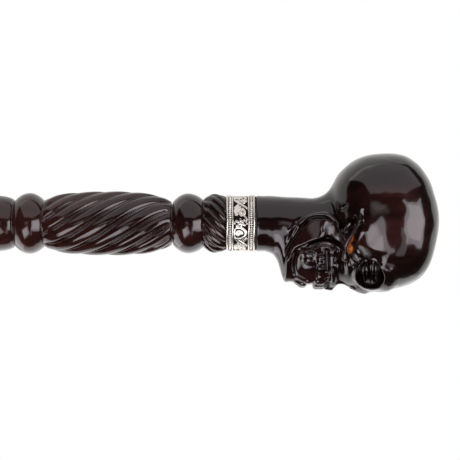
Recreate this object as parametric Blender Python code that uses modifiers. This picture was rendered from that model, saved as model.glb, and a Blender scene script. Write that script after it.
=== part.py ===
"""Skull-handled walking stick.

A turned and carved hardwood shaft with a silver-coloured collar, a carved skull handle that screws off at
the dark seam above the collar, and a rubber tip. Sizes are in millimetres and MM turns them into metres. The
stick stands upright: +Z runs up the shaft from the middle of the tip's sole, and the skull looks along -Y.
"""

import math

import bmesh
import bpy
from mathutils import Matrix, Vector

MM = 0.001

# Heights along the stick
TOTAL_HEIGHT = 920.0
HANDLE_HEIGHT = 82.0
SEAM_Z = TOTAL_HEIGHT - HANDLE_HEIGHT
WASHER_THICKNESS = 0.5
BEARING_GAP = 0.05
FIT_GAP = 0.25

# Collar
COLLAR_HEIGHT = 13.0
COLLAR_TOP_Z = SEAM_Z - WASHER_THICKNESS - 2 * BEARING_GAP
COLLAR_FOOT_Z = COLLAR_TOP_Z - COLLAR_HEIGHT
COLLAR_RADIUS = 12.3
COLLAR_WALL = 1.1
RIM_HEIGHT = 3.3
RIM_RADIUS = 12.75
RIM_EDGE_DEPTH = 0.35
RIM_SEAT_DEPTH = 0.6
RIM_FLAT = 1.0
RIM_CHAMFER = 0.3
WASHER_RADIUS = 12.1

# Shaft, from the walking end up
SHAFT_STEPS = 70
TIP_WOOD_RADIUS = 8.6
WOOD_BOTTOM_Z = 8.2
WOOD_CHAMFER = 0.8
SHOULDER_RADIUS = 12.6
SHOULDER_Z = SEAM_Z - 116.0
SHOULDER_ROUND = [(12.1, SHOULDER_Z + 3.6), (11.2, SHOULDER_Z + 6.6)]
BEAD_FULLNESS = 0.6
GROOVE_RADIUS = 10.2
GROOVE_Z = SEAM_Z - 108.4
RING_WIDEST_Z = SEAM_Z - 101.8
RING_TOP_Z = SEAM_Z - 95.3
RING_RADIUS = 13.7
BARREL_FOOT_RADIUS = 10.3
VALLEY_Z = SEAM_Z - 38.1
VALLEY_RADIUS = 9.8
BARREL_OUTLINE = [
    (BARREL_FOOT_RADIUS, RING_TOP_Z),
    (10.6, RING_TOP_Z + 3.5),
    (12.3, RING_TOP_Z + 8.8),
    (13.4, RING_TOP_Z + 16.3),
    (14.1, RING_TOP_Z + 30.3),
    (13.6, RING_TOP_Z + 42.8),
    (12.5, RING_TOP_Z + 50.8),
    (11.2, RING_TOP_Z + 54.9),
    (VALLEY_RADIUS, VALLEY_Z),
]
BARREL_RINGS = 12
BALL_WIDEST_Z = SEAM_Z - 30.7
BALL_TOP_Z = SEAM_Z - 23.8
BALL_RADIUS = 13.5
BALL_NECK_RADIUS = 10.6
TWIST_RADIUS = 13.3
TWIST_WIDEST_Z = SEAM_Z - 18.7
TWIST_TOP_RADIUS = 12.3
SPIGOT_RADIUS = COLLAR_RADIUS - COLLAR_WALL - FIT_GAP
CARVED_FROM_RADIUS = 8.0

# Carved ribs: the barrel's run left-handed, the small bead's right-handed
BARREL_RIBS = 10
BARREL_TWIST = -0.0524
BARREL_FLUTE_DEPTH = 1.5
BARREL_FACE_Z = SEAM_Z - 62.5
BARREL_RIB_SHAPE = [(0.0, 1.0), (0.09, 0.5), (0.18, 0.9), (0.31, 0.2), (0.5, 0.0), (0.72, 0.04), (0.9, 0.35)]
BARREL_RIB_FADE = 5.0
TWIST_RIBS = 14
TWIST_TWIST = 0.085
TWIST_FLUTE_DEPTH = 1.1
TWIST_RIB_SHAPE = [(0.0, 1.0), (0.17, 0.35), (0.4, 0.0), (0.63, 0.02), (0.85, 0.38)]

# Screw joint: M10 x 1.5
STUD_RADIUS = 4.8
STUD_LEAD = 1.0
STUD_GRIP = 15.0
STUD_IN_HANDLE = 29.0
STUD_END_ROOM = 6.0
BORE_CLEARANCE = 0.35
STUD_BORE_RADIUS = STUD_RADIUS + BORE_CLEARANCE
STUD_WELL_RADIUS = STUD_BORE_RADIUS + 0.4
INSERT_RADIUS = 7.0
INSERT_LENGTH = 19.0
INSERT_END_ROOM = 0.5
RUNNING_GAP = 0.2

# Rubber tip
TIP_HEIGHT = 36.0
TIP_SOLE_RADIUS = 14.2
TIP_TOP_RADIUS = 11.2
TIP_LIP_HEIGHT = 4.0
TIP_LIP_DEPTH = 0.6
TIP_WAIST_Z = 13.0
TIP_FLARE_Z = 8.5
TIP_TREAD_TOP_Z = 6.5
TIP_TREAD_CHAMFER = 1.2
TIP_SOLE = 5.0
TIP_WASHER_THICKNESS = 1.6
TIP_WASHER_RADIUS = 8.2

# Skull, measured up from the seam and forward from the stick's axis
NECK_RADIUS = 12.6
NECK_WAIST_RADIUS = 11.3
SOCKET_TURN = math.radians(45)
ROUGH_VOXEL = 0.9
DOME_VOXEL = 1.2
FINE_VOXEL = 0.6
SKULL_TRIANGLE_SHARE = 0.049
TEETH_PER_SIDE = 7
TOOTH_RADII = (1.35, 2.0)
TOOTH_SPACING = 2.85
ARCH_STEP = 0.01

PARTS = "skull_handled_walking_stick"
CUTTERS = "cutters"


def clear_scene():
    for obj in list(bpy.data.objects):
        bpy.data.objects.remove(obj, do_unlink=True)
    for name in (PARTS, CUTTERS):
        bpy.context.scene.collection.children.link(bpy.data.collections.new(name))


def move_to(obj, collection_name):
    for held in list(obj.users_collection):
        held.objects.unlink(obj)
    bpy.data.collections[collection_name].objects.link(obj)


def material(name, colour, roughness, metallic=0.0):
    made = bpy.data.materials.new(name)
    made.use_nodes = True
    shader = made.node_tree.nodes["Principled BSDF"]
    shader.inputs["Base Color"].default_value = (*colour, 1.0)
    shader.inputs["Roughness"].default_value = roughness
    shader.inputs["Metallic"].default_value = metallic
    made.diffuse_color = (*colour, 1.0)
    return made


def finish_part(obj, name, made_of):
    obj.name = name
    obj.data.name = name
    obj.data.materials.clear()
    obj.data.materials.append(made_of)
    obj.data.shade_smooth()
    obj.data.set_sharp_from_angle(angle=math.radians(35))
    move_to(obj, PARTS)
    return obj


def select_only(*objects):
    bpy.ops.object.select_all(action="DESELECT")
    for obj in objects:
        obj.select_set(True)
    bpy.context.view_layer.objects.active = objects[0]


def apply_modifiers(obj):
    """Replaces the object's mesh by the one its modifiers give."""
    graph = bpy.context.evaluated_depsgraph_get()
    mesh = bpy.data.meshes.new_from_object(obj.evaluated_get(graph))
    obj.modifiers.clear()
    obj.data = mesh


def turned(profile, steps, centre_z=0.0):
    """A turned solid from (radius, height) points that run down the outer side, axis to axis."""
    mesh = bpy.data.meshes.new("profile")
    points = [(radius * MM, 0.0, (height + centre_z) * MM) for radius, height in profile]
    mesh.from_pydata(points, [(i, i + 1) for i in range(len(points) - 1)], [])
    obj = bpy.data.objects.new("turned", mesh)
    bpy.context.scene.collection.objects.link(obj)
    screw = obj.modifiers.new("Turn", "SCREW")
    screw.axis = "Z"
    screw.angle = 2 * math.pi
    screw.steps = steps
    screw.render_steps = steps
    screw.use_merge_vertices = True
    screw.merge_threshold = 0.00001
    apply_modifiers(obj)
    return obj


def turned_ring(profile, steps):
    """A turned ring from a closed (radius, height) outline: up the bore and down the outer side."""
    return turned(list(profile) + [profile[0]], steps)


def bead_profile(low_radius, high_radius, low_z, high_z, widest_radius, widest_z, count):
    """Points up a turned bead, fuller than a cosine and a little more pointed than an ellipse."""
    points = []
    for i in range(count + 1):
        z = low_z + (high_z - low_z) * (1 - math.cos(math.pi * i / count)) / 2
        if z < widest_z:
            edge, share = low_radius, (widest_z - z) / (widest_z - low_z)
        else:
            edge, share = high_radius, (z - widest_z) / (high_z - widest_z)
        points.append((edge + (widest_radius - edge) * max(0.0, 1 - share * share) ** BEAD_FULLNESS, z))
    return points


def smooth_profile(knots, count):
    """Points on the smooth curve through (radius, height) knots, evenly spaced in height."""
    points = []
    for i in range(count + 1):
        z = knots[0][1] + (knots[-1][1] - knots[0][1]) * i / count
        k = max(j for j in range(len(knots) - 1) if knots[j][1] <= z + 1e-9)
        (r0, z0), (r1, z1) = knots[k], knots[k + 1]
        before, after = knots[max(k - 1, 0)], knots[min(k + 2, len(knots) - 1)]
        slope0 = (r1 - before[0]) / (z1 - before[1])
        slope1 = (after[0] - r0) / (after[1] - z0)
        t, span = (z - z0) / (z1 - z0), z1 - z0
        radius = r0 * (1 + 2 * t) * (1 - t) ** 2 + slope0 * span * t * (1 - t) ** 2
        radius += r1 * t * t * (3 - 2 * t) + slope1 * span * t * t * (t - 1)
        points.append((radius, z))
    return points


# Shapes for the skull, placed by (sideways, forward, up) in its own frame

def place(x, forward, up):
    return Vector((x, -forward, SEAM_Z + up)) * MM


def ellipsoid(centre, radii, turn_z=0.0, tilt_x=0.0, segments=32):
    bpy.ops.mesh.primitive_uv_sphere_add(segments=segments, ring_count=segments // 2, radius=1.0)
    obj = bpy.context.object
    size = Matrix.Diagonal([r * MM for r in radii] + [1.0])
    turn = Matrix.Rotation(turn_z, 4, "Z") @ Matrix.Rotation(tilt_x, 4, "X")
    obj.data.transform(Matrix.Translation(place(*centre)) @ turn @ size)
    return obj


def curve_mesh(curve, matrix):
    """The mesh of a curve with its caps welded."""
    source = bpy.data.objects.new("curve", curve)
    source.matrix_world = matrix
    bpy.context.scene.collection.objects.link(source)
    bpy.context.view_layer.update()
    graph = bpy.context.evaluated_depsgraph_get()
    mesh = bpy.data.meshes.new_from_object(source.evaluated_get(graph))
    obj = bpy.data.objects.new("shape", mesh)
    bpy.context.scene.collection.objects.link(obj)
    obj.data.transform(matrix)
    bpy.data.objects.remove(source)
    work = bmesh.new()
    work.from_mesh(mesh)
    bmesh.ops.remove_doubles(work, verts=work.verts, dist=0.00001)
    bmesh.ops.recalc_face_normals(work, faces=work.faces)
    work.to_mesh(mesh)
    work.free()
    return obj


def bar(points, radii):
    """A round bar through (sideways, forward, up) points, with a radius at each."""
    curve = bpy.data.curves.new("bar", "CURVE")
    curve.dimensions = "3D"
    curve.bevel_depth = MM
    curve.bevel_resolution = 2
    curve.use_fill_caps = True
    spline = curve.splines.new("BEZIER")
    spline.resolution_u = 6
    spline.bezier_points.add(len(points) - 1)
    for knot, point, radius in zip(spline.bezier_points, points, radii):
        knot.co = place(*point)
        knot.radius = radius
        knot.handle_left_type = knot.handle_right_type = "AUTO"
    return curve_mesh(curve, Matrix.Identity(4))


def side_bar(side, points, radii):
    """A bar on the left (-1) or the right (1), from points given for the right."""
    return bar([(side * x, forward, up) for x, forward, up in points], radii)


def prism(outline, low, high, matrix):
    """A smooth closed outline extruded between two heights of its own plane."""
    curve = bpy.data.curves.new("outline", "CURVE")
    curve.dimensions = "2D"
    curve.fill_mode = "BOTH"
    curve.extrude = (high - low) / 2 * MM
    spline = curve.splines.new("BEZIER")
    spline.resolution_u = 5
    spline.bezier_points.add(len(outline) - 1)
    spline.use_cyclic_u = True
    for knot, (a, b) in zip(spline.bezier_points, outline):
        knot.co = (a * MM, b * MM, 0.0)
        knot.handle_left_type = knot.handle_right_type = "AUTO"
    middle = Matrix.Translation((0.0, 0.0, (high + low) / 2 * MM))
    return curve_mesh(curve, matrix @ middle)


def side_prism(outline, inner_x, outer_x):
    """An outline of (forward, up) points, extruded sideways."""
    axes = Matrix(((0, 0, 1, 0), (-1, 0, 0, 0), (0, 1, 0, 0), (0, 0, 0, 1)))
    axes.translation = place(0, 0, 0)
    return prism(outline, inner_x, outer_x, axes)


def plan_prism(outline, low, high):
    """An outline of (sideways, forward) points seen from above, extruded upwards."""
    axes = Matrix.Translation(place(0, 0, 0)) @ Matrix.Diagonal((1, -1, 1, 1))
    return prism(outline, low, high, axes)


def front_prism(outline, back, front):
    """An outline of (sideways, up) points seen from the front, extruded forwards."""
    axes = Matrix(((1, 0, 0, 0), (0, 0, -1, 0), (0, 1, 0, 0), (0, 0, 0, 1)))
    axes.translation = place(0, 0, 0)
    return prism(outline, back, front, axes)


def mirrored(points):
    """A closed outline from its half beside x = 0."""
    return points + [(-x, along) for x, along in reversed(points) if x > 0]


def joined(objects):
    select_only(*objects)
    bpy.ops.object.join()
    return bpy.context.object


def boolean(obj, other, operation):
    move_to(other, CUTTERS)
    cut = obj.modifiers.new("Cut", "BOOLEAN")
    cut.operation = operation
    cut.object = other
    apply_modifiers(obj)
    bpy.data.objects.remove(other)


def remesh(obj, voxel, smoothing):
    grid = obj.modifiers.new("Voxels", "REMESH")
    grid.mode = "VOXEL"
    grid.voxel_size = voxel * MM
    smooth = obj.modifiers.new("Smooth", "SMOOTH")
    smooth.factor = 0.5
    smooth.iterations = smoothing
    apply_modifiers(obj)


def on_arch(along, half_width, front, depth):
    """The point of the dental arch that lies this far from its middle, and the turn of a tooth there."""
    angle, run = 0.0, 0.0
    while run < along:
        angle += ARCH_STEP
        run += ARCH_STEP * math.hypot(half_width * math.cos(angle), depth * math.sin(angle))
    x, forward = half_width * math.sin(angle), front - depth * (1 - math.cos(angle))
    return x, forward, math.atan2(x / half_width ** 2, (forward - front + depth) / depth ** 2)


def teeth(low, high, half_width, front, depth):
    """One row of teeth along the arch."""
    radii = TOOTH_RADII + ((high - low) / 2,)
    row = []
    for i in range(TEETH_PER_SIDE):
        x, forward, turn = on_arch((i + 0.5) * TOOTH_SPACING, half_width, front, depth)
        for side in (-1, 1):
            centre = (side * x, forward, (low + high) / 2)
            row.append(ellipsoid(centre, radii, turn_z=side * turn, segments=12))
    return row


def cranium():
    """The dome of the skull, smoothed into one swelling form, with the brow's middle."""
    pieces = [
        ellipsoid((0, -0.7, 56.7), (23.4, 31.2, 25.4)),
        ellipsoid((0, 8.3, 57.8), (19.5, 22.2, 23.0)),
        ellipsoid((0, -8, 60), (21, 23.8, 20.3)),
        ellipsoid((0, -13, 49), (18, 16.8, 14.3)),
        bar([(0, -2, 36), (0, -10, 43)], [12.2, 12.4]),
    ]
    pieces += [ellipsoid((side * 8.6, -7, 56.5), (15.9, 19, 19)) for side in (-1, 1)]
    dome = joined(pieces)
    remesh(dome, DOME_VOXEL, 14)
    return [dome, ellipsoid((0, 24.3, 48.6), (7.0, 7.2, 6.8))]


def face():
    """Brow, rings of the eye sockets, cheeks, arches back to the ears, nose bridge and upper jaw."""
    cheek = mirrored([(0, 28.4), (7.6, 26.0), (15.2, 18.6), (16.4, 13.0), (12.0, 9.0), (0, 8.0)])
    gums = mirrored([(0, 27.2), (4.6, 26.3), (8.4, 23.0), (11.0, 18.0), (12.2, 12.0), (12.4, 6.5), (0, 3.0)])
    ridge = [(-12.6, 8), (-8.4, 23.4), (0, 28.2), (8.4, 23.4), (12.6, 8)]
    pieces = [
        ellipsoid((0, 14.5, 39), (13.4, 12.4, 8.0)),
        bar([(0, 29.9, 48.6), (0, 29.2, 46.4), (0, 28.3, 43.2), (0, 27.4, 39.5)], [1.7, 1.6, 1.5, 1.2]),
        plan_prism(cheek, 39.2, 46.6),
        plan_prism(gums, 14.6, 36.8),
        bar([(0, 28.4, 30.6), (0, 28.7, 34.4), (0, 27.9, 36.8)], [1.6, 1.5, 1.2]),
        bar([(x, forward, 34.2) for x, forward in ridge], [1.2] * len(ridge)),
    ]
    brow = [(2, 27.9, 56.0), (9, 27, 58.4), (15.4, 20.6, 58.2)]
    arch = [(15.6, 15, 40), (18, 10, 41), (19.8, 5.4, 42.7), (21.2, 0, 46), (21.6, -4, 46.4), (20.4, -9, 45)]
    flare = [(4.2, 26.0, 35.0), (4.3, 26.2, 38.0), (2.8, 27.6, 41.5)]
    rim = [(15.6, 20.4, 57.2), (18.2, 17.8, 54.6), (19.0, 16.8, 51.0), (18.4, 17.4, 47.2), (16.2, 19.8, 44.2)]
    for side in (-1, 1):
        centre = (side * 12.2, 22.4, 50.8)
        pieces += [
            ellipsoid(centre, (9.2, 4.4, 8.9), turn_z=side * SOCKET_TURN),
            side_bar(side, brow, [2.4, 2.6, 2.2]),
            side_bar(side, arch, [2.0, 1.5, 1.4, 1.4, 1.6, 2.0]),
            side_bar(side, flare, [1.2, 1.2, 1.0]),
            side_bar(side, rim, [1.9, 1.8, 1.8, 1.8, 1.9]),
        ]
    return pieces


def lower_jaw():
    """The jaw's lower border with the plates that rise to the cheek, and the keel under the chin."""
    side = [
        (16.0, 13.2), (21.5, 12.9), (26.2, 12.8), (25.9, 15.0), (26.0, 17.0), (18.5, 15.2), (14.0, 16.0),
        (9.4, 20.8), (7.0, 29.5), (8.8, 38.0), (1.6, 35.2), (-3.4, 31.0), (-4.2, 27.0), (-3.2, 23.6),
        (0.9, 20.0), (9.0, 15.2),
    ]
    plan = mirrored([(0, 26.6), (4.5, 26), (8.2, 22.6), (11.4, 17.6), (14, 12.6), (16, 4), (16, -5), (0, -6)])
    taper = mirrored([(0, 6), (10.4, 12.0), (14.2, 19.0), (15.8, 25.0), (16.8, 33.0), (16.8, 40.0), (0, 44)])
    plates = side_prism(side, -20, 20)
    boolean(plates, plan_prism(plan, 3, 41), "INTERSECT")
    boolean(plates, front_prism(taper, -8, 30), "INTERSECT")
    keel = bar([(0, 4.0, 8.6), (0, 12.6, 14.6), (0, 20.6, 15.5), (0, 22.8, 15.9)], [9.4, 6.9, 5.0, 3.8])
    return [plates, keel]


def neck():
    profile = [(0, 46), (10.5, 46), (11.6, 36), (NECK_WAIST_RADIUS, 27), (11.9, 18), (NECK_RADIUS, 6)]
    profile += [(NECK_RADIUS, 2), (12.45, -2), (0, -2)]
    return turned(profile, 48, SEAM_Z)


def hollows():
    """Eye sockets, nose, temples, and the openings over the jaw, behind the cheek and at the ear."""
    hole = [(1.0, 37.0), (-3.1, 41.6), (-2.0, 44.0), (1.6, 43.6), (6.0, 40.0)]
    ear = [(14.6, -7.2, 39.2), (16.4, -8.6, 41.0), (18.6, -10.6, 43.6)]
    cuts = []
    for side in (-1, 1):
        cuts += [
            ellipsoid((side * 12.7, 23.4, 50.6), (8.1, 8.8, 6.4), turn_z=side * SOCKET_TURN),
            ellipsoid((side * 2.2, 28.5, 37.2), (2.1, 6.0, 3.6), turn_z=side * 0.1, segments=16),
            ellipsoid((side * 1.2, 29.5, 40.2), (1.3, 5.5, 3.4), segments=16),
            side_prism(hole, *sorted((side * 10.5, side * 26))),
            ellipsoid((side * 17.5, 9.4, 43.7), (5.5, 4.6, 1.4), segments=16),
            side_bar(side, ear, [0.8, 1.5, 0.8]),
        ]
    return cuts


def bite_gap():
    """The thin gap between the rows of teeth and its wider notch at the front teeth."""
    outer = mirrored([(0, 32), (8, 27.5), (13, 18), (14.5, 7), (0, 4)])
    inner = mirrored([(0, 27.2), (6.5, 23.6), (10.4, 17), (11.7, 5), (0, 2)])
    gap = plan_prism(outer, 25.7, 26.7)
    boolean(gap, plan_prism(inner, 25.0, 27.4), "DIFFERENCE")
    boolean(gap, ellipsoid((0, 30.4, 23.8), (6.5, 4.2, 1.6), segments=20), "UNION")
    return gap


def skull(made_of):
    blank = joined(cranium() + face() + lower_jaw() + [neck()])
    remesh(blank, ROUGH_VOXEL, 3)
    for cut in hollows():
        boolean(blank, cut, "DIFFERENCE")
    carved = joined([blank] + teeth(26.2, 31.6, 12.8, 28.7, 20.8) + teeth(18.6, 25.8, 12.3, 27.2, 20.0))
    remesh(carved, FINE_VOXEL, 1)
    boolean(carved, bite_gap(), "DIFFERENCE")
    remesh(carved, FINE_VOXEL, 1)
    fewer = carved.modifiers.new("Fewer faces", "DECIMATE")
    fewer.ratio = SKULL_TRIANGLE_SHARE
    fewer.use_symmetry = True
    fewer.symmetry_axis = "X"
    apply_modifiers(carved)
    below = [(0, 0), (40, 0), (40, -20), (0, -20)]
    boolean(carved, turned(below, 24, SEAM_Z), "DIFFERENCE")
    bore_top = STUD_IN_HANDLE + 1.0
    bore = [(0, bore_top), (STUD_BORE_RADIUS, bore_top), (STUD_BORE_RADIUS, -1), (0, -1)]
    boolean(carved, turned(bore, 32, SEAM_Z), "DIFFERENCE")
    return finish_part(carved, "skull_handle", made_of)


# The shaft

def on_rib(angle, ribs, shape):
    """Moves an evenly spaced point to its place across the rib and says, as a share, how deep it lies."""
    pitch = 2 * math.pi / ribs
    column = round(angle / pitch * len(shape))
    across, depth = shape[column % len(shape)]
    return (column // len(shape) + across) * pitch, depth


def shaft_profile():
    """(radius, height) points from the bore's floor up to the spigot's rim and down the outer side."""
    insert_floor = COLLAR_TOP_Z - INSERT_LENGTH - INSERT_END_ROOM
    stud_floor = SEAM_Z - STUD_GRIP - STUD_END_ROOM
    outer = [(TIP_WOOD_RADIUS - WOOD_CHAMFER, WOOD_BOTTOM_Z), (TIP_WOOD_RADIUS, WOOD_BOTTOM_Z + WOOD_CHAMFER)]
    outer += [(SHOULDER_RADIUS, SHOULDER_Z)] + SHOULDER_ROUND + [(GROOVE_RADIUS, GROOVE_Z)]
    ring = (GROOVE_RADIUS, BARREL_FOOT_RADIUS, GROOVE_Z, RING_TOP_Z, RING_RADIUS, RING_WIDEST_Z)
    ball = (VALLEY_RADIUS, BALL_NECK_RADIUS, VALLEY_Z, BALL_TOP_Z, BALL_RADIUS, BALL_WIDEST_Z)
    twist = (BALL_NECK_RADIUS, TWIST_TOP_RADIUS, BALL_TOP_Z, COLLAR_FOOT_Z, TWIST_RADIUS, TWIST_WIDEST_Z)
    outer += bead_profile(*ring, 5)[1:]
    outer += smooth_profile(BARREL_OUTLINE, BARREL_RINGS)[1:]
    outer += bead_profile(*ball, 5)[1:]
    outer += bead_profile(*twist, 4)[1:]
    spigot = [(SPIGOT_RADIUS, COLLAR_FOOT_Z), (SPIGOT_RADIUS, COLLAR_TOP_Z)]
    bore_radius = INSERT_RADIUS + FIT_GAP
    bore = [(bore_radius, COLLAR_TOP_Z), (bore_radius, insert_floor), (STUD_WELL_RADIUS, insert_floor)]
    bore += [(STUD_WELL_RADIUS, stud_floor), (0, stud_floor)]
    up = [(0, WOOD_BOTTOM_Z)] + outer + spigot + bore
    return up[::-1]


def carve(obj):
    """Twists the turned shaft's rings with the ribs and sinks the grooves between the ribs."""
    for vertex in obj.data.vertices:
        x, y, z = (value / MM for value in vertex.co)
        radius, angle = math.hypot(x, y), math.atan2(y, x)
        if radius < CARVED_FROM_RADIUS:
            continue
        depth = 0.0
        if RING_TOP_Z + 1 < z < VALLEY_Z - 1:
            fade = min(1.0, (VALLEY_Z - z) / BARREL_RIB_FADE, (z - RING_TOP_Z) / BARREL_RIB_FADE)
            angle, depth = on_rib(angle, BARREL_RIBS, BARREL_RIB_SHAPE)
            depth *= BARREL_FLUTE_DEPTH * fade
        elif BALL_TOP_Z + 0.3 < z < COLLAR_FOOT_Z - 0.05:
            angle, depth = on_rib(angle, TWIST_RIBS, TWIST_RIB_SHAPE)
            depth *= TWIST_FLUTE_DEPTH
        radius -= depth
        turn = angle + BARREL_TWIST * (min(max(z, RING_TOP_Z), VALLEY_Z) - BARREL_FACE_Z)
        turn += TWIST_TWIST * (min(max(z, BALL_TOP_Z), COLLAR_FOOT_Z) - BALL_TOP_Z)
        vertex.co = Vector((radius * math.cos(turn), radius * math.sin(turn), z)) * MM


def shaft(made_of):
    obj = turned(shaft_profile(), SHAFT_STEPS)
    carve(obj)
    return finish_part(obj, "shaft", made_of)


# Collar, seam and screw joint

def collar_band(made_of):
    foot = COLLAR_FOOT_Z + BEARING_GAP
    inner = COLLAR_RADIUS - COLLAR_WALL
    seat = COLLAR_RADIUS - RIM_SEAT_DEPTH
    outline = [(inner, foot), (inner, COLLAR_TOP_Z), (seat, COLLAR_TOP_Z), (seat, COLLAR_TOP_Z - RIM_HEIGHT)]
    outline += [(COLLAR_RADIUS, COLLAR_TOP_Z - RIM_HEIGHT), (COLLAR_RADIUS, foot + RIM_HEIGHT)]
    outline += [(seat, foot + RIM_HEIGHT), (seat, foot)]
    return finish_part(turned_ring(outline, 40), "collar_band", made_of)


def beaded_rim(name, foot, made_of):
    inner = COLLAR_RADIUS - RIM_SEAT_DEPTH + BEARING_GAP
    low, high = foot + BEARING_GAP, foot + RIM_HEIGHT - BEARING_GAP
    edge, shoulder = RIM_RADIUS - RIM_EDGE_DEPTH, RIM_RADIUS - RIM_CHAMFER / 3
    bead_low, bead_high = foot + RIM_FLAT, foot + RIM_HEIGHT - RIM_FLAT
    outline = [(inner, low), (inner, high), (edge, high), (edge, bead_high)]
    outline += [(shoulder, bead_high - RIM_CHAMFER), (RIM_RADIUS, (bead_low + bead_high) / 2)]
    outline += [(shoulder, bead_low + RIM_CHAMFER), (edge, bead_low), (edge, low)]
    return finish_part(turned_ring(outline, 40), name, made_of)


def seam_washer(made_of):
    low, high = SEAM_Z - BEARING_GAP - WASHER_THICKNESS, SEAM_Z - BEARING_GAP
    outline = [(STUD_BORE_RADIUS, low), (STUD_BORE_RADIUS, high), (WASHER_RADIUS, high), (WASHER_RADIUS, low)]
    return finish_part(turned_ring(outline, 36), "seam_washer", made_of)


def threaded_insert(made_of):
    low, hole = COLLAR_TOP_Z - INSERT_LENGTH, STUD_RADIUS + RUNNING_GAP
    outline = [(hole, low), (hole, COLLAR_TOP_Z), (INSERT_RADIUS, COLLAR_TOP_Z), (INSERT_RADIUS, low)]
    return finish_part(turned_ring(outline, 40), "threaded_insert", made_of)


def handle_stud(made_of):
    low, high = SEAM_Z - WASHER_THICKNESS - STUD_GRIP, SEAM_Z + STUD_IN_HANDLE
    profile = [(0, high), (STUD_RADIUS - STUD_LEAD, high), (STUD_RADIUS, high - STUD_LEAD)]
    profile += [(STUD_RADIUS, low + STUD_LEAD), (STUD_RADIUS - STUD_LEAD, low), (0, low)]
    return finish_part(turned(profile, 32), "handle_stud", made_of)


# Walking end

def rubber_tip(made_of):
    bore = TIP_WOOD_RADIUS + FIT_GAP
    taper = (SHOULDER_RADIUS - TIP_WOOD_RADIUS) / (SHOULDER_Z - WOOD_BOTTOM_Z)
    mouth = bore + taper * (TIP_HEIGHT - TIP_SOLE)
    lip_foot = TIP_HEIGHT - TIP_LIP_HEIGHT
    sole, chamfer = TIP_SOLE_RADIUS, TIP_TREAD_CHAMFER
    profile = [(0, TIP_SOLE), (bore, TIP_SOLE), (mouth, TIP_HEIGHT)]
    profile += [(TIP_TOP_RADIUS - TIP_LIP_DEPTH, TIP_HEIGHT), (TIP_TOP_RADIUS, TIP_HEIGHT - TIP_LIP_DEPTH)]
    profile += [(TIP_TOP_RADIUS, lip_foot), (TIP_TOP_RADIUS - TIP_LIP_DEPTH, lip_foot - 1.0)]
    profile += [(TIP_TOP_RADIUS + TIP_LIP_DEPTH, TIP_WAIST_Z), (sole - chamfer, TIP_FLARE_Z)]
    profile += [(sole, TIP_TREAD_TOP_Z), (sole, chamfer), (sole - chamfer, 0), (0, 0)]
    return finish_part(turned(profile, 36), "rubber_tip", made_of)


def tip_washer(made_of):
    low = TIP_SOLE + FIT_GAP
    high = low + TIP_WASHER_THICKNESS
    profile = [(0, high), (TIP_WASHER_RADIUS, high), (TIP_WASHER_RADIUS, low), (0, low)]
    return finish_part(turned(profile, 40), "tip_washer", made_of)


def main():
    clear_scene()
    skull_wood = material("skull_wood", (0.030, 0.014, 0.010), 0.22)
    shaft_wood = material("shaft_wood", (0.045, 0.014, 0.010), 0.25)
    silver = material("antique_silver", (0.55, 0.54, 0.52), 0.35, 1.0)
    rim_silver = material("beaded_rim_silver", (0.62, 0.61, 0.58), 0.30, 1.0)
    fibre = material("black_fibre", (0.01, 0.01, 0.01), 0.7)
    brass = material("insert_brass", (0.72, 0.52, 0.22), 0.3, 1.0)
    steel = material("stud_steel", (0.45, 0.45, 0.46), 0.35, 1.0)
    plated = material("washer_steel", (0.50, 0.50, 0.50), 0.4, 1.0)
    rubber = material("tip_rubber", (0.02, 0.02, 0.02), 0.8)
    shaft(shaft_wood)
    collar_band(silver)
    beaded_rim("beaded_rim_upper", COLLAR_TOP_Z - RIM_HEIGHT, rim_silver)
    beaded_rim("beaded_rim_lower", COLLAR_FOOT_Z + BEARING_GAP, rim_silver)
    threaded_insert(brass)
    seam_washer(fibre)
    handle_stud(steel)
    skull(skull_wood)
    rubber_tip(rubber)
    tip_washer(plated)


main()
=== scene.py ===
"""Looks of the skull-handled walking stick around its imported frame.

The carved skull is worked as a field of distances to its surface and then meshed. The turned parts are
skins over rings of points. Sizes are in millimetres, apart from the lamps and materials and what has a
name that ends in _M, which are in metres.
"""

import math

import bpy
import numpy as np
from mathutils import Matrix, Quaternion, Vector

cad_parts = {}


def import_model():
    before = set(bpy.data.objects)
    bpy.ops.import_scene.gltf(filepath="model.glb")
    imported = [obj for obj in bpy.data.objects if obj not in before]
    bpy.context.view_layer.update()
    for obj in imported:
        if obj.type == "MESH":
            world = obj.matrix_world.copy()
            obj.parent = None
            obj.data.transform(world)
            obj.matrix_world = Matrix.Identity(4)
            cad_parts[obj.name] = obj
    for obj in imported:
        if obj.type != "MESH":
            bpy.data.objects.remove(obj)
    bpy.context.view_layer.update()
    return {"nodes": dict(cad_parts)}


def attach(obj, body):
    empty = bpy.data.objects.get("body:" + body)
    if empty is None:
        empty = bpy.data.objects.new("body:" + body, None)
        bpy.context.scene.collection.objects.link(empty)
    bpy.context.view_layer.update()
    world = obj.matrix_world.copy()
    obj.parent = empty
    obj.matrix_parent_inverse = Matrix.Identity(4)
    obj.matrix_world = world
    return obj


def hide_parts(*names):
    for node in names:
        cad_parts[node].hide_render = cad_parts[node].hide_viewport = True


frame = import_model()

MM = 0.001
SEAM_Z = 838.0
TURN = 2 * math.pi
CORNERS = [(i, j, k) for i in (0, 1) for j in (0, 1) for k in (0, 1)]


# The camera looks along +X at the skull's right side, with the stick lying across the picture

CAMERA_PLACE_M = (-0.66, -0.003, 0.8262)
PICTURE_WIDTH_M = 0.207
NEAREST_SEEN_M = 0.01
SENSOR_WIDTH = 36.0


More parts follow.
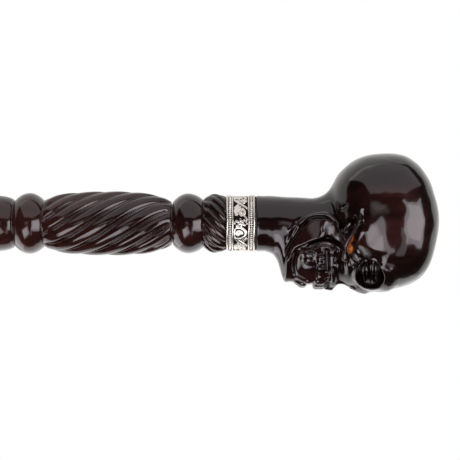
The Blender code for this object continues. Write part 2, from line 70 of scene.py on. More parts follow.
def camera():
    data = bpy.data.cameras.new("camera")
    data.sensor_width = SENSOR_WIDTH
    data.lens = SENSOR_WIDTH * -CAMERA_PLACE_M[0] / PICTURE_WIDTH_M
    data.clip_start = NEAREST_SEEN_M
    made = bpy.data.objects.new("camera", data)
    bpy.context.scene.collection.objects.link(made)
    axes = Matrix(((0, 0, -1), (0, 1, 0), (1, 0, 0))).to_4x4()
    made.matrix_world = Matrix.Translation(CAMERA_PLACE_M) @ axes
    bpy.context.scene.camera = made


# Shapes as distances: x sideways, f forward and u up from the seam, with everything on the x >= 0 side.
# A shape is its lowest and highest corners and a function that gives the distance to its surface.

FAR = 30.0
OUTER_X = 30.0
BEVEL_INNER_X = 9.0
DENT_INNER_X = 6.0
DENT_REACH = 2.6
GAUGE_STEP = 0.3


def smooth_least(a, b, k):
    """The lesser of two distances, with a fillet of about k."""
    if k <= 0:
        return np.minimum(a, b)
    h = np.maximum(k - np.abs(a - b), 0.0)
    return np.minimum(a, b) - h * h * (0.25 / k)


class Clay:
    """A block of distances to the surface on a regular grid."""

    def __init__(self, low, high, step):
        self.step = step
        self.axes = [np.arange(a, b + step, step, dtype=np.float32) for a, b in zip(low, high)]
        self.d = np.full([len(a) for a in self.axes], FAR, np.float32)

    def window(self, low, high, margin=0.0):
        """The part of the grid between two corners, and its x, f and u."""
        ends = [np.searchsorted(axis, (a - margin, b + margin)) for axis, a, b in zip(self.axes, low, high)]
        part = tuple(slice(i, j) for i, j in ends)
        return part, *np.ix_(*(axis[s] for axis, s in zip(self.axes, part)))

    def add(self, shape, k=0.0):
        part, x, f, u = self.window(shape[0], shape[1], k + 2 * self.step)
        self.d[part] = smooth_least(self.d[part], shape[2](x, f, u), k)

    def cut(self, shape, k):
        part, x, f, u = self.window(shape[0], shape[1], k + 2 * self.step)
        self.d[part] = -smooth_least(-self.d[part], shape[2](x, f, u), k)

    def sink(self, low, high, amount):
        """Lowers the surface by amount(x, f, u) inside the given bounds. A negative amount raises it."""
        part, x, f, u = self.window(low, high)
        self.d[part] += amount(x, f, u)


def local_axes(centre, turn, lean=0.0):
    """A function for places seen from a centre that is turned about the up axis and leans forward."""
    ct, st = math.cos(math.radians(turn)), math.sin(math.radians(turn))
    cl, sl = math.cos(math.radians(lean)), math.sin(math.radians(lean))

    def local(x, f, u):
        dx, df, du = x - centre[0], f - centre[1], u - centre[2]
        a, b = dx * ct - df * st, dx * st + df * ct
        return a, b * cl - du * sl, b * sl + du * cl

    return local


def ellipsoid(centre, radii, turn=0.0):
    reach = max(radii)
    local = local_axes(centre, turn)

    def at(x, f, u):
        a, b, c = local(x, f, u)
        near = np.sqrt((a / radii[0]) ** 2 + (b / radii[1]) ** 2 + (c / radii[2]) ** 2)
        far = np.sqrt((a / radii[0] ** 2) ** 2 + (b / radii[1] ** 2) ** 2 + (c / radii[2] ** 2) ** 2)
        return near * (near - 1.0) / np.maximum(far, 1e-6)

    return [v - reach for v in centre], [v + reach for v in centre], at


def block(centre, half, soft, turn, lean, bulge=0.0):
    """A rounded block. bulge swells its sides at mid height."""
    reach = max(half) * 1.8
    local = local_axes(centre, turn, lean)

    def at(x, f, u):
        a, b, c = local(x, f, u)
        swell = bulge * (1 - np.clip((c / half[2]) ** 2, 0, 1))
        q = [np.abs(v) - h + soft for v, h in zip((a, b, c), half)]
        q[:2] = q[0] - swell, q[1] - swell
        outside = np.sqrt(sum(np.maximum(v, 0) ** 2 for v in q))
        return outside + np.minimum(np.maximum(np.maximum(q[0], q[1]), q[2]), 0.0) - soft

    return [v - reach for v in centre], [v + reach for v in centre], at


def through(points, count):
    """A smooth curve through the points, count steps to each span."""
    p = np.array(points, float)
    p = np.vstack([2 * p[0] - p[1], p, 2 * p[-1] - p[-2]])
    out = []
    for a, b, c, e in zip(p, p[1:], p[2:], p[3:]):
        for s in range(count):
            t = s / count
            bend = (2 * a - 5 * b + 4 * c - e) * t ** 2 + (3 * b - a - 3 * c + e) * t ** 3
            out.append(0.5 * (2 * b + (c - a) * t + bend))
    out.append(p[-2])
    return np.array(out)


def closed_curve(points, count=6):
    """A smooth closed outline through the points."""
    p = np.array(points, float)
    wrapped = np.vstack([p[-1:], p, p[:2]])
    return through(wrapped, count)[count : -count - 1]


def both_sides(half):
    """A whole outline from the half of it between its first and last point, which are on the middle line."""
    return half + [(-x, v) for x, v in half[-2:0:-1]]


def bar(points, radii):
    """A round bar along a smooth curve, with a radius at each point."""
    line = through([tuple(p) + (r,) for p, r in zip(points, radii)], 5)
    reach = line[:, 3].max()
    low = (line[:, :3].min(axis=0) - reach).tolist()
    high = (line[:, :3].max(axis=0) + reach).tolist()

    def at(x, f, u):
        best = None
        for a, b in zip(line[:-1], line[1:]):
            run = (b - a)[:3]
            square = float(run @ run) + 1e-9
            dx, df, du = x - a[0], f - a[1], u - a[2]
            t = np.clip((dx * run[0] + df * run[1] + du * run[2]) / square, 0.0, 1.0)
            d = np.sqrt((dx - t * run[0]) ** 2 + (df - t * run[1]) ** 2 + (du - t * run[2]) ** 2)
            d -= a[3] + t * (b[3] - a[3])
            best = d if best is None else np.minimum(best, d)
        return best

    return low, high, at


def flat_distance(outline, f, u):
    """Signed distance to a closed outline of points in one plane, below zero inside."""
    best, inside = None, None
    for (af, au), (bf, bu) in zip(outline, np.roll(outline, -1, axis=0)):
        ef, eu = bf - af, bu - au
        wf, wu = f - af, u - au
        t = np.clip((wf * ef + wu * eu) / (ef * ef + eu * eu), 0.0, 1.0)
        d = (wf - t * ef) ** 2 + (wu - t * eu) ** 2
        best = d if best is None else np.minimum(best, d)
        crosses = ((au <= u) & (bu > u)) | ((bu <= u) & (au > u))
        if au != bu:
            crosses = crosses & (f < af + (u - au) * ef / eu)
        inside = crosses if inside is None else inside ^ crosses
    return np.where(inside, -np.sqrt(best), np.sqrt(best))


def prism(outline, axis, near, far, soft=0.0):
    """A smooth closed outline, made solid from near to far along an axis: 0 is x, 1 is f and 2 is u."""
    line = closed_curve(outline)
    middle, half = (near + far) / 2, (far - near) / 2
    low, high = list(line.min(axis=0)), list(line.max(axis=0))
    low.insert(axis, near)
    high.insert(axis, far)

    def at(*place):
        flat = [np.take(v, 0, axis) for i, v in enumerate(place) if i != axis]
        a = np.expand_dims(flat_distance(line, *flat), axis) + soft
        b = np.abs(place[axis] - middle) - half + soft
        most = np.maximum(a, b)
        if not soft:
            return most
        return np.minimum(most, 0.0) + np.sqrt(np.maximum(a, 0) ** 2 + np.maximum(b, 0) ** 2) - soft

    return low, high, at


def from_gauge(gauge, low, high):
    """A form whose gauge is zero at its surface and grows outwards, with plain ends in u."""

    def at(x, f, u):
        g, e = gauge(x, f, u), GAUGE_STEP
        slope = (gauge(x + e, f, u) - g) ** 2 + (gauge(x, f + e, u) - g) ** 2 + (gauge(x, f, u + e) - g) ** 2
        d = g * e / np.sqrt(np.maximum(slope, 1e-8))
        return np.maximum(d, np.maximum(u - high[2], low[2] - u)).astype(np.float32)

    return low, high, at


def swollen(outline, centre, width, low, high, narrowing, fullness):
    """A form with the smooth closed side outline given, swelling to x = width over its centre.

    A fullness of 2 gives elliptic sections, and more gives flatter sides.
    """
    line = closed_curve(outline, 12)
    angle = np.unwrap(np.arctan2(line[:, 1] - centre[1], line[:, 0] - centre[0]))
    if angle[-1] < angle[0]:
        line, angle = line[::-1], angle[::-1]
    reach = np.tile(np.hypot(line[:, 0] - centre[0], line[:, 1] - centre[1]), 3)
    angle = np.concatenate([angle - TURN, angle, angle + TURN])

    def gauge(x, f, u):
        df, du = f - centre[0], u - centre[1]
        side = np.hypot(df, du) / np.interp(np.arctan2(du, df), angle, reach)
        across = np.abs(x) / (width * (1 - narrowing * df / 30.0))
        return (across ** fullness + side ** fullness) ** (1 / fullness) - 1.0

    return from_gauge(gauge, low, high)


def foreswept(front, width, low, high):
    """A form of flat half ellipses that reach forward to front and sideways to width, both (u, mm)."""
    front, width = np.array(front), np.array(width)

    def gauge(x, f, u):
        side = np.interp(u, width[:, 0], width[:, 1])
        ahead = np.where(f > 0, np.interp(u, front[:, 0], front[:, 1]), side)
        return np.sqrt((x / side) ** 2 + (f / ahead) ** 2) - 1.0

    return from_gauge(gauge, low, high)


def round_profile(profile):
    """A turned form: (radius, u) points from the top down, on the stick's axis."""
    p = np.array(profile, float)
    reach = p[:, 0].max()

    def at(x, f, u):
        radius = np.interp(u[0, 0], p[::-1, 1], p[::-1, 0]).astype(np.float32)[None, None, :]
        return np.maximum(np.sqrt(x * x + f * f) - radius, np.maximum(u - p[0, 1], p[-1, 1] - u))

    return [-reach, -reach, p[-1, 1]], [reach, reach, p[0, 1]], at


def meeting(*shapes):
    """What the shapes share."""
    low, high = shapes[0][:2]

    def at(x, f, u):
        d = shapes[0][2](x, f, u)
        for shape in shapes[1:]:
            d = np.maximum(d, shape[2](x, f, u))
        return d

    return low, high, at


def bevel(clay, start, end, slope, reach, fade):
    """Slopes the outer side down from a straight edge drawn in the side view from (f, u) start to end."""
    run = np.array(end, float) - np.array(start, float)
    length = float(np.hypot(*run))
    along = run / length
    down = np.array([along[1], -along[0]])

    def amount(x, f, u):
        below = (f - start[0]) * down[0] + (u - start[1]) * down[1]
        t = (f - start[0]) * along[0] + (u - start[1]) * along[1]
        ends = np.clip(np.minimum(t + fade, length + fade - t) / fade, 0, 1)
        ends = ends * ends * (3 - 2 * ends)
        stop = np.clip((2 * reach - below) / reach, 0, 1)
        return slope * np.clip(below, 0, reach) * ends * stop * np.clip((x - BEVEL_INNER_X) / 2, 0, 1)

    corners = np.array([start, end])
    low = [BEVEL_INNER_X, corners[:, 0].min() - fade, corners[:, 1].min() - 2 * reach - fade]
    high = [OUTER_X, corners[:, 0].max() + 2 * reach + fade, corners[:, 1].max() + fade]
    clay.sink(low, high, amount)


def dent(clay, centre, spread, depth):
    """A soft hollow in the outer side, centred at (f, u). A negative depth raises a swelling."""
    (cf, cu), (sf, su) = centre, spread

    def amount(x, f, u):
        form = depth * np.exp(-(((f - cf) / sf) ** 2) - ((u - cu) / su) ** 2)
        return form * np.clip((x - DENT_INNER_X) / 2, 0, 1)

    low = [DENT_INNER_X, cf - DENT_REACH * sf, cu - DENT_REACH * su]
    clay.sink(low, [OUTER_X, cf + DENT_REACH * sf, cu + DENT_REACH * su], amount)


def line_distance(points, f, u):
    """Distance in the side view to a smooth open line, and the share of the way along it."""
    line = through(points, 8)
    best = np.full(np.broadcast(f, u).shape, 1e9, np.float32)
    share = np.zeros_like(best)
    for i, (a, b) in enumerate(zip(line[:-1], line[1:])):
        run = b - a
        wf, wu = f - a[0], u - a[1]
        t = np.clip((wf * run[0] + wu * run[1]) / (run @ run + 1e-9), 0.0, 1.0)
        d = np.sqrt((wf - t * run[0]) ** 2 + (wu - t * run[1]) ** 2)
        closer = d < best
        best = np.where(closer, d, best)
        share = np.where(closer, (i + t) / (len(line) - 1), share)
    return best, share


def groove(clay, points, width, depth, inner_x, fade=0.12, sharp=False):
    """Cuts a line drawn in the side view into the outer side. A negative depth raises a ridge."""
    p = np.array(points)

    def amount(x, f, u):
        d, share = line_distance(points, f[0], u[0])
        ends = np.clip(np.minimum(share, 1 - share) / fade, 0, 1)
        form = np.maximum(1 - d / width, 0) if sharp else np.exp(-((d / width) ** 2) * 1.2)
        return (depth * form * ends)[None] * np.clip(x - inner_x, 0, 1)

    low, high = p.min(axis=0) - 3 * width, p.max(axis=0) + 3 * width
    clay.sink([inner_x - 1.0, *low], [OUTER_X, *high], amount)


def blurred(d, share):
    """One soft pass of the field along each axis."""
    for axis in range(3):
        p = np.moveaxis(d, axis, 0)
        p[1:-1] = p[1:-1] * (1 - share) + (p[:-2] + p[2:]) * (share / 2)
    return d


def soften(clay, low, high, passes):
    """Rounds off what lies inside the given bounds, as sanding would."""
    part = clay.window(low, high)[0]
    for _ in range(passes):
        clay.d[part] = blurred(clay.d[part].copy(), 0.6)


# From the field to a mesh

def cell_corners(inside):
    """The grid's flags at each corner of its cells."""
    ends = (slice(None, -1), slice(1, None))
    return {c: inside[tuple(ends[i] for i in c)] for c in CORNERS}


def make_plain(d, tiny):
    """Fills the grid corners at which two parts of the surface would touch along an edge or at a point."""
    for _ in range(12):
        changed = 0
        for axis in range(3):
            p = np.moveaxis(d, axis, 2)
            a, b, c, e = p[:-1, :-1] < 0, p[1:, :-1] < 0, p[1:, 1:] < 0, p[:-1, 1:] < 0
            crossed = (a == c) & (b == e) & (a != b)
            changed += int(crossed.sum())
            p[:-1, :-1][crossed & ~a] = -tiny
            p[1:, :-1][crossed & ~b] = -tiny
        corner = cell_corners(d < 0)
        total = sum(flags.astype(np.int8) for flags in corner.values())
        for _, j, k in CORNERS[:4]:
            one, other = corner[0, j, k], corner[1, 1 - j, 1 - k]
            where = np.argwhere(((total == 2) & one & other) | ((total == 6) & ~one & ~other))
            changed += len(where)
            d[tuple((where + (1, j, k)).T)] = -tiny
        if not changed:
            break
    return d


def surface_of(axes, d):
    """Quads of the zero level of a field that is above zero on its border: points (n, 3) and faces (m, 4)."""
    inside = d < 0
    mixed = sum(flags.astype(np.int8) for flags in cell_corners(inside).values())
    cells = np.argwhere((mixed > 0) & (mixed < 8))
    number = np.full(mixed.shape, -1, np.int64)
    number[tuple(cells.T)] = np.arange(len(cells))
    total = np.zeros((len(cells), 3))
    crossings = np.zeros(len(cells))
    for a in CORNERS:
        for axis in range(3):
            if a[axis]:
                continue
            b = list(a)
            b[axis] = 1
            da, db = d[tuple((cells + a).T)], d[tuple((cells + b).T)]
            hit = (da < 0) != (db < 0)
            place = np.array(a, float) + np.zeros((len(cells), 3))
            place[:, axis] = np.where(hit, da / np.where(hit, da - db, 1.0), 0.0)
            total[hit] += place[hit]
            crossings[hit] += 1
    at = cells + total / crossings[:, None]
    points = np.stack([np.interp(at[:, i], np.arange(len(axes[i])), axes[i]) for i in range(3)], axis=1)
    faces = []
    for axis in range(3):
        e, g = (axis + 1) % 3, (axis + 2) % 3
        first, second = [slice(1, -1)] * 3, [slice(1, -1)] * 3
        first[axis], second[axis] = slice(0, -1), slice(1, None)
        p, q = inside[tuple(first)], inside[tuple(second)]
        for out, flip in ((p & ~q, False), (~p & q, True)):
            edge = np.argwhere(out)
            edge[:, [e, g]] += 1
            ring = []
            for de, dg in ((0, 0), (-1, 0), (-1, -1), (0, -1)):
                cell = edge.copy()
                cell[:, e] += de
                cell[:, g] += dg
                ring.append(number[tuple(cell.T)])
            ring = np.stack(ring, axis=1)
            faces.append(ring[:, ::-1] if flip else ring)
    return points, np.concatenate(faces)


def sampled(axes, grid, points):
    """The grid's values at the points, between its eight nearest corners."""
    at, base = [], []
    for i, axis in enumerate(axes):
        t = np.clip((points[:, i] - axis[0]) / (axis[1] - axis[0]), 0, len(axis) - 1.001)
        base.append(t.astype(np.int64))
        at.append(t - base[-1])
    total = np.zeros(len(points))
    for i, j, k in CORNERS:
        share = (at[0] if i else 1 - at[0]) * (at[1] if j else 1 - at[1]) * (at[2] if k else 1 - at[2])
        total += share * grid[base[0] + i, base[1] + j, base[2] + k]
    return total


def slopes_at(axes, slopes, points):
    found = np.stack([sampled(axes, s, points) for s in slopes], axis=1)
    return found / np.maximum(np.linalg.norm(found, axis=1, keepdims=True), 1e-6)


# The skull

FIELD_STEP = 0.36
FIELD_LOW = (FIELD_STEP / 2, -33.2, -1.0)
FIELD_HIGH = (24.9, 33.4, 83.8)
SKULL_TRIANGLES = 190000
STUD_BORE_RADIUS = 5.15
STUD_BORE_DEPTH = 30.0
DOME = [
    (7.6, 80.8), (0.0, 82.0), (-8.2, 81.1), (-15.7, 79.0), (-20.6, 76.9), (-25.3, 73.5), (-28.6, 69.8),
    (-30.5, 66.2), (-31.4, 61.5), (-31.4, 56.5), (-30.7, 50.3), (-28.8, 44.9), (-25.1, 39.7), (-20.7, 36.0),
    (-15.2, 33.7), (-8.0, 33.0), (3.0, 34.5), (12.0, 38.0), (20.5, 41.5), (26.9, 45.2), (30.2, 50.3),
    (30.4, 56.0), (29.6, 61.1), (28.6, 65.2), (26.8, 70.0), (24.2, 73.8), (20.0, 77.0), (14.4, 79.3),
]
CHEEK_PLAN = both_sides([
    (0, 28.4), (3.6, 27.8), (7.6, 26.0), (11.6, 22.8), (15.2, 18.6), (16.6, 14.6), (16.0, 11.6), (12.0, 9.0),
    (0, 8.0),
])
JAW_SIDE = [
    (16.0, 13.2), (21.5, 12.9), (26.2, 12.8), (25.9, 15.0), (26.0, 17.0), (22.0, 15.8), (18.5, 15.2),
    (14.0, 16.0), (11.2, 17.6), (9.4, 20.8), (7.8, 25.0), (7.0, 29.5), (7.2, 34.2), (8.8, 38.0), (5.0, 37.6),
    (1.6, 34.6), (-1.2, 31.0), (-1.9, 27.0), (-1.2, 24.2), (0.9, 21.6), (4.6, 18.6), (9.0, 15.7),
    (12.0, 14.3),
]
JAW_PLAN = both_sides([
    (0, 26.6), (4.5, 25.7), (8.2, 22.6), (11.4, 17.6), (14.0, 12.6), (15.8, 7.0), (16.2, 1.0), (15.6, -3.5),
    (0, -4.0),
])
JAW_TAPER = both_sides([
    (0, 6), (10.4, 12.0), (12.6, 15.0), (14.2, 19.0), (15.6, 25.0), (16.4, 32.0), (16.8, 40.0), (0, 44),
])
CHIN_FRONT = [
    (-2, 12.3), (3.5, 12.4), (5.3, 12.9), (7.1, 13.6), (8.0, 14.3), (8.9, 15.6), (9.8, 17.8), (10.7, 20.8),
    (11.6, 23.8), (12.4, 25.6), (13.2, 26.3), (17.0, 26.2), (19.0, 25.0),
]
CHIN_WIDTH = [(-2, 12.2), (6, 12.0), (12, 11.4), (19, 10.8)]
MUZZLE_PLAN = both_sides([
    (0, 27.6), (4.6, 26.5), (8.4, 23.0), (10.9, 18.0), (12.2, 12.0), (12.4, 6.5), (9.0, 3.5), (0, 3.0),
])
MUZZLE_SIDE = [
    (10.8, 17.8), (14.0, 16.2), (18.4, 15.8), (22.0, 16.8), (25.0, 19.2), (27.4, 22.4), (28.6, 26.0),
    (29.0, 30.0), (28.2, 34.5), (26.0, 38.4), (20.5, 40.4), (15.0, 40.2), (10.8, 38.2), (8.0, 35.2),
    (6.8, 31.9), (6.8, 28.4), (7.6, 24.8), (8.9, 21.0),
]
SOCKET = (12.4, 22.2, 50.2)

# Each tooth's width along the arch, its biting edge, and how far it is turned and leans
UPPER = [
    (3.0, 25.3, 0, 0), (2.5, 25.4, 4, -3), (2.6, 25.9, -3, 3), (2.3, 26.5, 5, -4), (2.2, 26.6, -4, 4),
    (2.7, 26.7, 5, -3), (2.9, 26.7, -2, 5), (2.2, 26.9, 4, 0),
]
LOWER = [
    (2.4, 22.4, 0, 0), (2.3, 22.6, 3, 3), (2.6, 24.8, -4, -3), (2.4, 25.7, 4, 4), (2.5, 25.9, -3, -4),
    (3.2, 26.0, 4, 3), (3.4, 26.1, -4, -5), (2.0, 26.0, 3, 4),
]

# Half width, front and depth of the dental arches
UPPER_ARCH = (12.7, 28.5, 20.5)
LOWER_ARCH = (12.4, 27.7, 20)
CROWN_TOP = 30.4
LOWER_CROWN_FOOT = 21.6
LEAST_CROWN = 3.2
CROWN_HALF_DEPTH, CROWN_SOFTNESS, CROWN_BULGE = 1.3, 0.6, 0.1
HALF_GAP = 0.04

# The rows stand in from their arch by up to INSET, most at f = INSET_MIDDLE
INSET, INSET_MIDDLE, INSET_REACH = 0.8, 21.5, 4


def dome(clay):
    """The dome, its meeting with the neck, and the neck with its waist and its swelling below the jaw."""
    clay.add(swollen(DOME, (-2.0, 58.0), 24.0, [-30, -33, 30], [30, 33, 84], 0.10, 2.3))
    clay.add(bar([(0, -1.0, 30), (0, -3.5, 36), (0, -8, 43)], [10.3, 10.9, 11.4]), 2.5)
    neck = [(10.5, 46), (11.3, 36), (11.2, 27), (11.7, 18), (12.2, 6), (12.3, 2), (12.3, -2)]
    clay.add(round_profile(neck), 2.0)
    dent(clay, (4.0, 8.2), (8.5, 4.6), 0.85)
    dent(clay, (4.0, 15.8), (7.0, 3.6), -0.30)
    dent(clay, (-14.2, 43.6), (3.6, 3.2), 0.55)


def face(clay):
    """The middle of the face, the nose bridge, the brow, the ring of the eye socket and the cheek."""
    clay.add(ellipsoid((0, 24.3, 48.6), (7.0, 7.0, 6.6)), 1.5)
    clay.add(ellipsoid((0, 14.5, 39), (13.4, 12.4, 8.0)), 1.5)
    clay.add(bar([(0, 29.9, 48.6), (0, 29.2, 46.4), (0, 28.1, 43.2)], [1.7, 1.6, 1.5]), 1.5)
    clay.add(ellipsoid((12.2, 22.4, 50.8), (8.9, 4.0, 8.4), turn=45), 2.5)
    clay.add(bar([(2, 27.9, 56.0), (9, 27, 58.4), (15.4, 20.6, 58.2)], [2.2, 2.3, 1.9]), 3.0)
    clay.add(prism(CHEEK_PLAN, 2, 38.9, 47.0, 2.4), 1.2)


def temple(clay):
    """The hollow in front of the dome's sharp edge, and the groove from it to the eye socket."""
    hollow = [
        (0.0, 46.0), (4.2, 44.8), (8.6, 43.2), (11.6, 43.3), (14.0, 44.4), (15.2, 45.6), (15.9, 44.6),
        (15.0, 42.4), (13.4, 40.9), (10.4, 40.1), (5.0, 41.6), (0.0, 43.4),
    ]
    bevel(clay, (9.7, 45.4), (11.9, 52.6), 0.45, 5.0, 5.5)
    clay.cut(prism(hollow, 0, 14.0, OUTER_X, 0.4), 0.4)
    groove(clay, [(-6.6, 45.6), (-3.4, 46.4), (0.4, 46.9), (3.6, 46.6)], 1.1, 0.7, 9.0, fade=0.3)
    clay.cut(bar([(15.4, 12.4, 40.9), (15.2, 14.6, 42.4), (14.4, 16.9, 44.6)], [0.9, 1.2, 1.0]), 0.5)
    lip = [(3.0, 45.6), (4.6, 45.1), (8.6, 43.6), (11.4, 43.8), (13.6, 44.9), (15.3, 46.9), (15.9, 49.4)]
    groove(clay, lip + [(16.1, 52.4)], 0.6, -0.4, 12.0)


def jaw(clay):
    """The jaw plate, the chin, the smooth ridge round the back of the plate and its hollow."""
    side, plan = prism(JAW_SIDE, 0, -20, 20, 0.6), prism(JAW_PLAN, 2, 3, 40, 0.9)
    clay.add(meeting(side, plan, prism(JAW_TAPER, 1, -6, 30)), 0.6)
    clay.add(foreswept(CHIN_FRONT, CHIN_WIDTH, [-13, -13, 0], [13, 27, 18.5]), 1.0)
    ridge = [
        (11.2, 3.0, 15.0), (12.8, -1.4, 20.6), (14.0, -3.4, 25.6), (14.6, -3.3, 31.0), (15.2, -0.6, 34.6),
        (16.2, 4.4, 37.2), (16.8, 9.4, 38.8),
    ]
    clay.add(bar(ridge, [0.8, 1.1, 1.2, 1.3, 1.3, 1.3, 1.3]), 1.0)
    dent(clay, (8.0, 31.2), (5.6, 2.4), 1.8)
    dent(clay, (-2.5, 31.2), (4.0, 2.4), -0.7)
    groove(clay, [(-2.4, 28.6), (0.6, 28.7), (4.2, 28.9)], 0.55, 0.55, 9.0, fade=0.25, sharp=True)


def muzzle(clay):
    """The muzzle with its gum, the flat pillar above the last teeth, and the hollow behind it."""
    clay.add(meeting(prism(MUZZLE_SIDE, 0, -14, 14, 3.6), prism(MUZZLE_PLAN, 2, 15.6, 41.0, 3.0)), 0.4)
    clay.add(bar([(0, 28.2, 36.6), (0, 28.9, 34.4), (0, 28.6, 31.5)], [0.9, 1.3, 1.3]), 1.0)
    gum = [(11.0, 18.6, 34.0), (8.4, 23.4, 34.1), (4.4, 27.0, 34.3), (0, 28.4, 34.4)]
    clay.add(bar(gum, [0.9, 1.1, 1.1, 1.1]), 1.4)
    clay.add(ellipsoid((0, 21.6, 19.6), (8.6, 4.6, 4.6)), 1.2)
    clay.add(block((11.3, 16.6, 33.1), (2.8, 1.3, 1.15), 0.2, 72, 9), 0.1)
    clay.add(bar([(12.5, 10.4, 31.6), (12.2, 12.6, 33.6), (11.8, 13.6, 34.0)], [0.35, 0.45, 0.4]), 0.2)
    dent(clay, (13.8, 36.8), (3.2, 1.3), 1.2)


def cheek_arch(clay):
    line = [
        (15.6, 15.2, 38.6), (17.6, 10.8, 38.9), (18.6, 8.0, 39.6), (19.4, 5.4, 41.2), (19.9, 3.0, 42.8),
        (20.3, 0.0, 44.2), (19.9, -3.6, 44.6), (17.6, -7.6, 43.2),
    ]
    clay.add(bar(line, [1.8, 1.1, 1.0, 0.9, 0.9, 0.9, 1.0, 1.0]), 0.9)


def hollows(clay):
    """The eye socket with the ridges in it, the hole in the cheek, its gap and the slit of the ear."""
    clay.cut(ellipsoid(SOCKET, (7.7, 7.9, 6.4), turn=45), 0.5)
    rim = [(16.2, 18.6, 55.4), (17.0, 17.0, 53.4), (17.0, 16.4, 50.4), (16.2, 16.8, 47.2), (15.0, 18.6, 44.6)]
    clay.add(bar(rim, [0.5, 0.6, 0.6, 0.6, 0.7]), 0.6)
    clay.cut(ellipsoid(SOCKET, (7.5, 7.7, 6.2), turn=45), 0.3)
    clay.add(bar([(7.6, 16.6, 48.8), (5.6, 20.6, 49.2), (6.0, 25.4, 49.4)], [0.9, 1.1, 0.9]), 1.2)
    clay.add(bar([(7.8, 17.0, 52.0), (6.2, 21.0, 51.8), (6.6, 25.6, 51.6)], [0.6, 0.8, 0.6]), 1.2)
    hole = [
        (-3.2, 42.8), (-1.0, 43.4), (1.5, 43.0), (3.9, 41.5), (6.0, 39.6), (5.4, 37.9), (3.3, 36.6),
        (1.1, 36.0), (-0.6, 37.9), (-2.3, 40.6),
    ]
    clay.cut(prism(hole, 0, 15.0, OUTER_X, 0.5), 0.4)
    floor_line = [(15.6, -1.7, 42.2), (14.6, 0.9, 40.6), (14.2, 3.2, 39.2), (14.6, 4.6, 38.6)]
    clay.cut(bar(floor_line, [1.0, 2.3, 2.3, 1.6]), 0.3)
    gap = [
        (4.6, 42.9), (7.0, 41.5), (9.0, 40.2), (10.6, 39.5), (12.4, 39.8), (13.5, 41.2), (12.6, 42.4),
        (10.4, 42.3), (9.0, 41.6), (7.2, 42.2), (5.2, 43.2),
    ]
    clay.cut(prism(gap, 0, 11.5, OUTER_X, 0.3), 0.3)
    clay.cut(bar([(15.2, -5.8, 36.8), (16.4, -7.5, 39.4), (17.8, -9.2, 41.9)], [0.6, 1.1, 0.6]), 0.3)


def nose(clay):
    rim = [(3.9, 26.4, 35.0), (4.0, 26.2, 38), (2.8, 27.4, 41.5), (1.4, 28.9, 44)]
    clay.add(bar(rim, [1.1, 1.1, 1.0, 1.0]), 1.0)
    clay.cut(ellipsoid((2.0, 28.5, 37.4), (1.85, 6.0, 3.2), turn=-4), 0.4)
    clay.cut(ellipsoid((1.2, 29.5, 40.4), (1.0, 5.5, 3.2)), 0.4)
    clay.cut(ellipsoid((0, 32.0, 37.9), (3.2, 4.2, 4.2)), 0.4)


def lines(clay):
    """The edge of the jaw plate and the carved line below it, and the lens-shaped lines round the teeth."""
    edge = [(14.5, 12.6), (10.5, 14.1), (4.4, 18.3), (-0.7, 21.8), (-2.5, 23.9), (-2.9, 27.0), (-2.4, 31.0)]
    groove(clay, edge + [(0.2, 34.4)], 0.75, 1.3, 9.0, sharp=True)
    groove(clay, [(9.8, 13.2), (7.0, 14.8), (3.5, 16.4), (0.0, 18.0), (-3.0, 20.4)], 1.0, 0.8, 9.0, fade=0.35)
    low = [(11.2, 18.2), (13.3, 16.8), (16.3, 16.0), (18.8, 15.8), (21.8, 16.9), (24.3, 19.4), (25.8, 22.4)]
    groove(clay, low, 0.8, 1.0, 6.0, fade=0.08, sharp=True)
    high = [(11.6, 20.2), (9.0, 23.2), (7.7, 26.6), (7.4, 30.5), (8.4, 34.2), (10.4, 37.2), (14.0, 39.6)]
    groove(clay, high + [(17.4, 40.2)], 0.7, 1.1, 6.0, fade=0.08, sharp=True)
    inside = [(12.4, 22.4), (10.6, 24.6), (9.3, 27.6), (9.2, 30.6), (10.0, 33.2)]
    groove(clay, inside, 0.6, 0.7, 6.0, fade=0.15, sharp=True)


def arch_at(s, half_width, front, depth):
    """The point of the dental arch s mm from its middle at the front, and the way it faces."""
    angles = np.linspace(0, math.pi / 2, 60)
    x, f = half_width * np.sin(angles), front - depth * (1 - np.cos(angles))
    run = np.concatenate([[0], np.cumsum(np.hypot(np.diff(x), np.diff(f)))])
    px, pf = np.interp(s, run, x), np.interp(s, run, f)
    return px, pf, math.degrees(math.atan2(px / half_width ** 2, (pf - front + depth) / depth ** 2))


def tooth(clay, s, arch, width, foot, head, turned_by, lean, root, radii):
    """A crown from foot to head, and its root through (mm behind the crown, u) points."""
    x, f, turn = arch_at(s, *arch)
    nx, nf = math.sin(math.radians(turn)), math.cos(math.radians(turn))
    inset = INSET * max(0.0, 1 - ((f - INSET_MIDDLE) / INSET_REACH) ** 2)
    x, f = x - inset * nx, f - inset * nf
    middle = (x, f, (foot + head) / 2)
    half = (width / 2 - HALF_GAP, CROWN_HALF_DEPTH, (head - foot) / 2)
    clay.add(block(middle, half, CROWN_SOFTNESS, turn + turned_by, lean, CROWN_BULGE), 0.35)
    clay.add(bar([(x - back * nx, f - back * nf, u) for back, u in root], radii), 0.5)


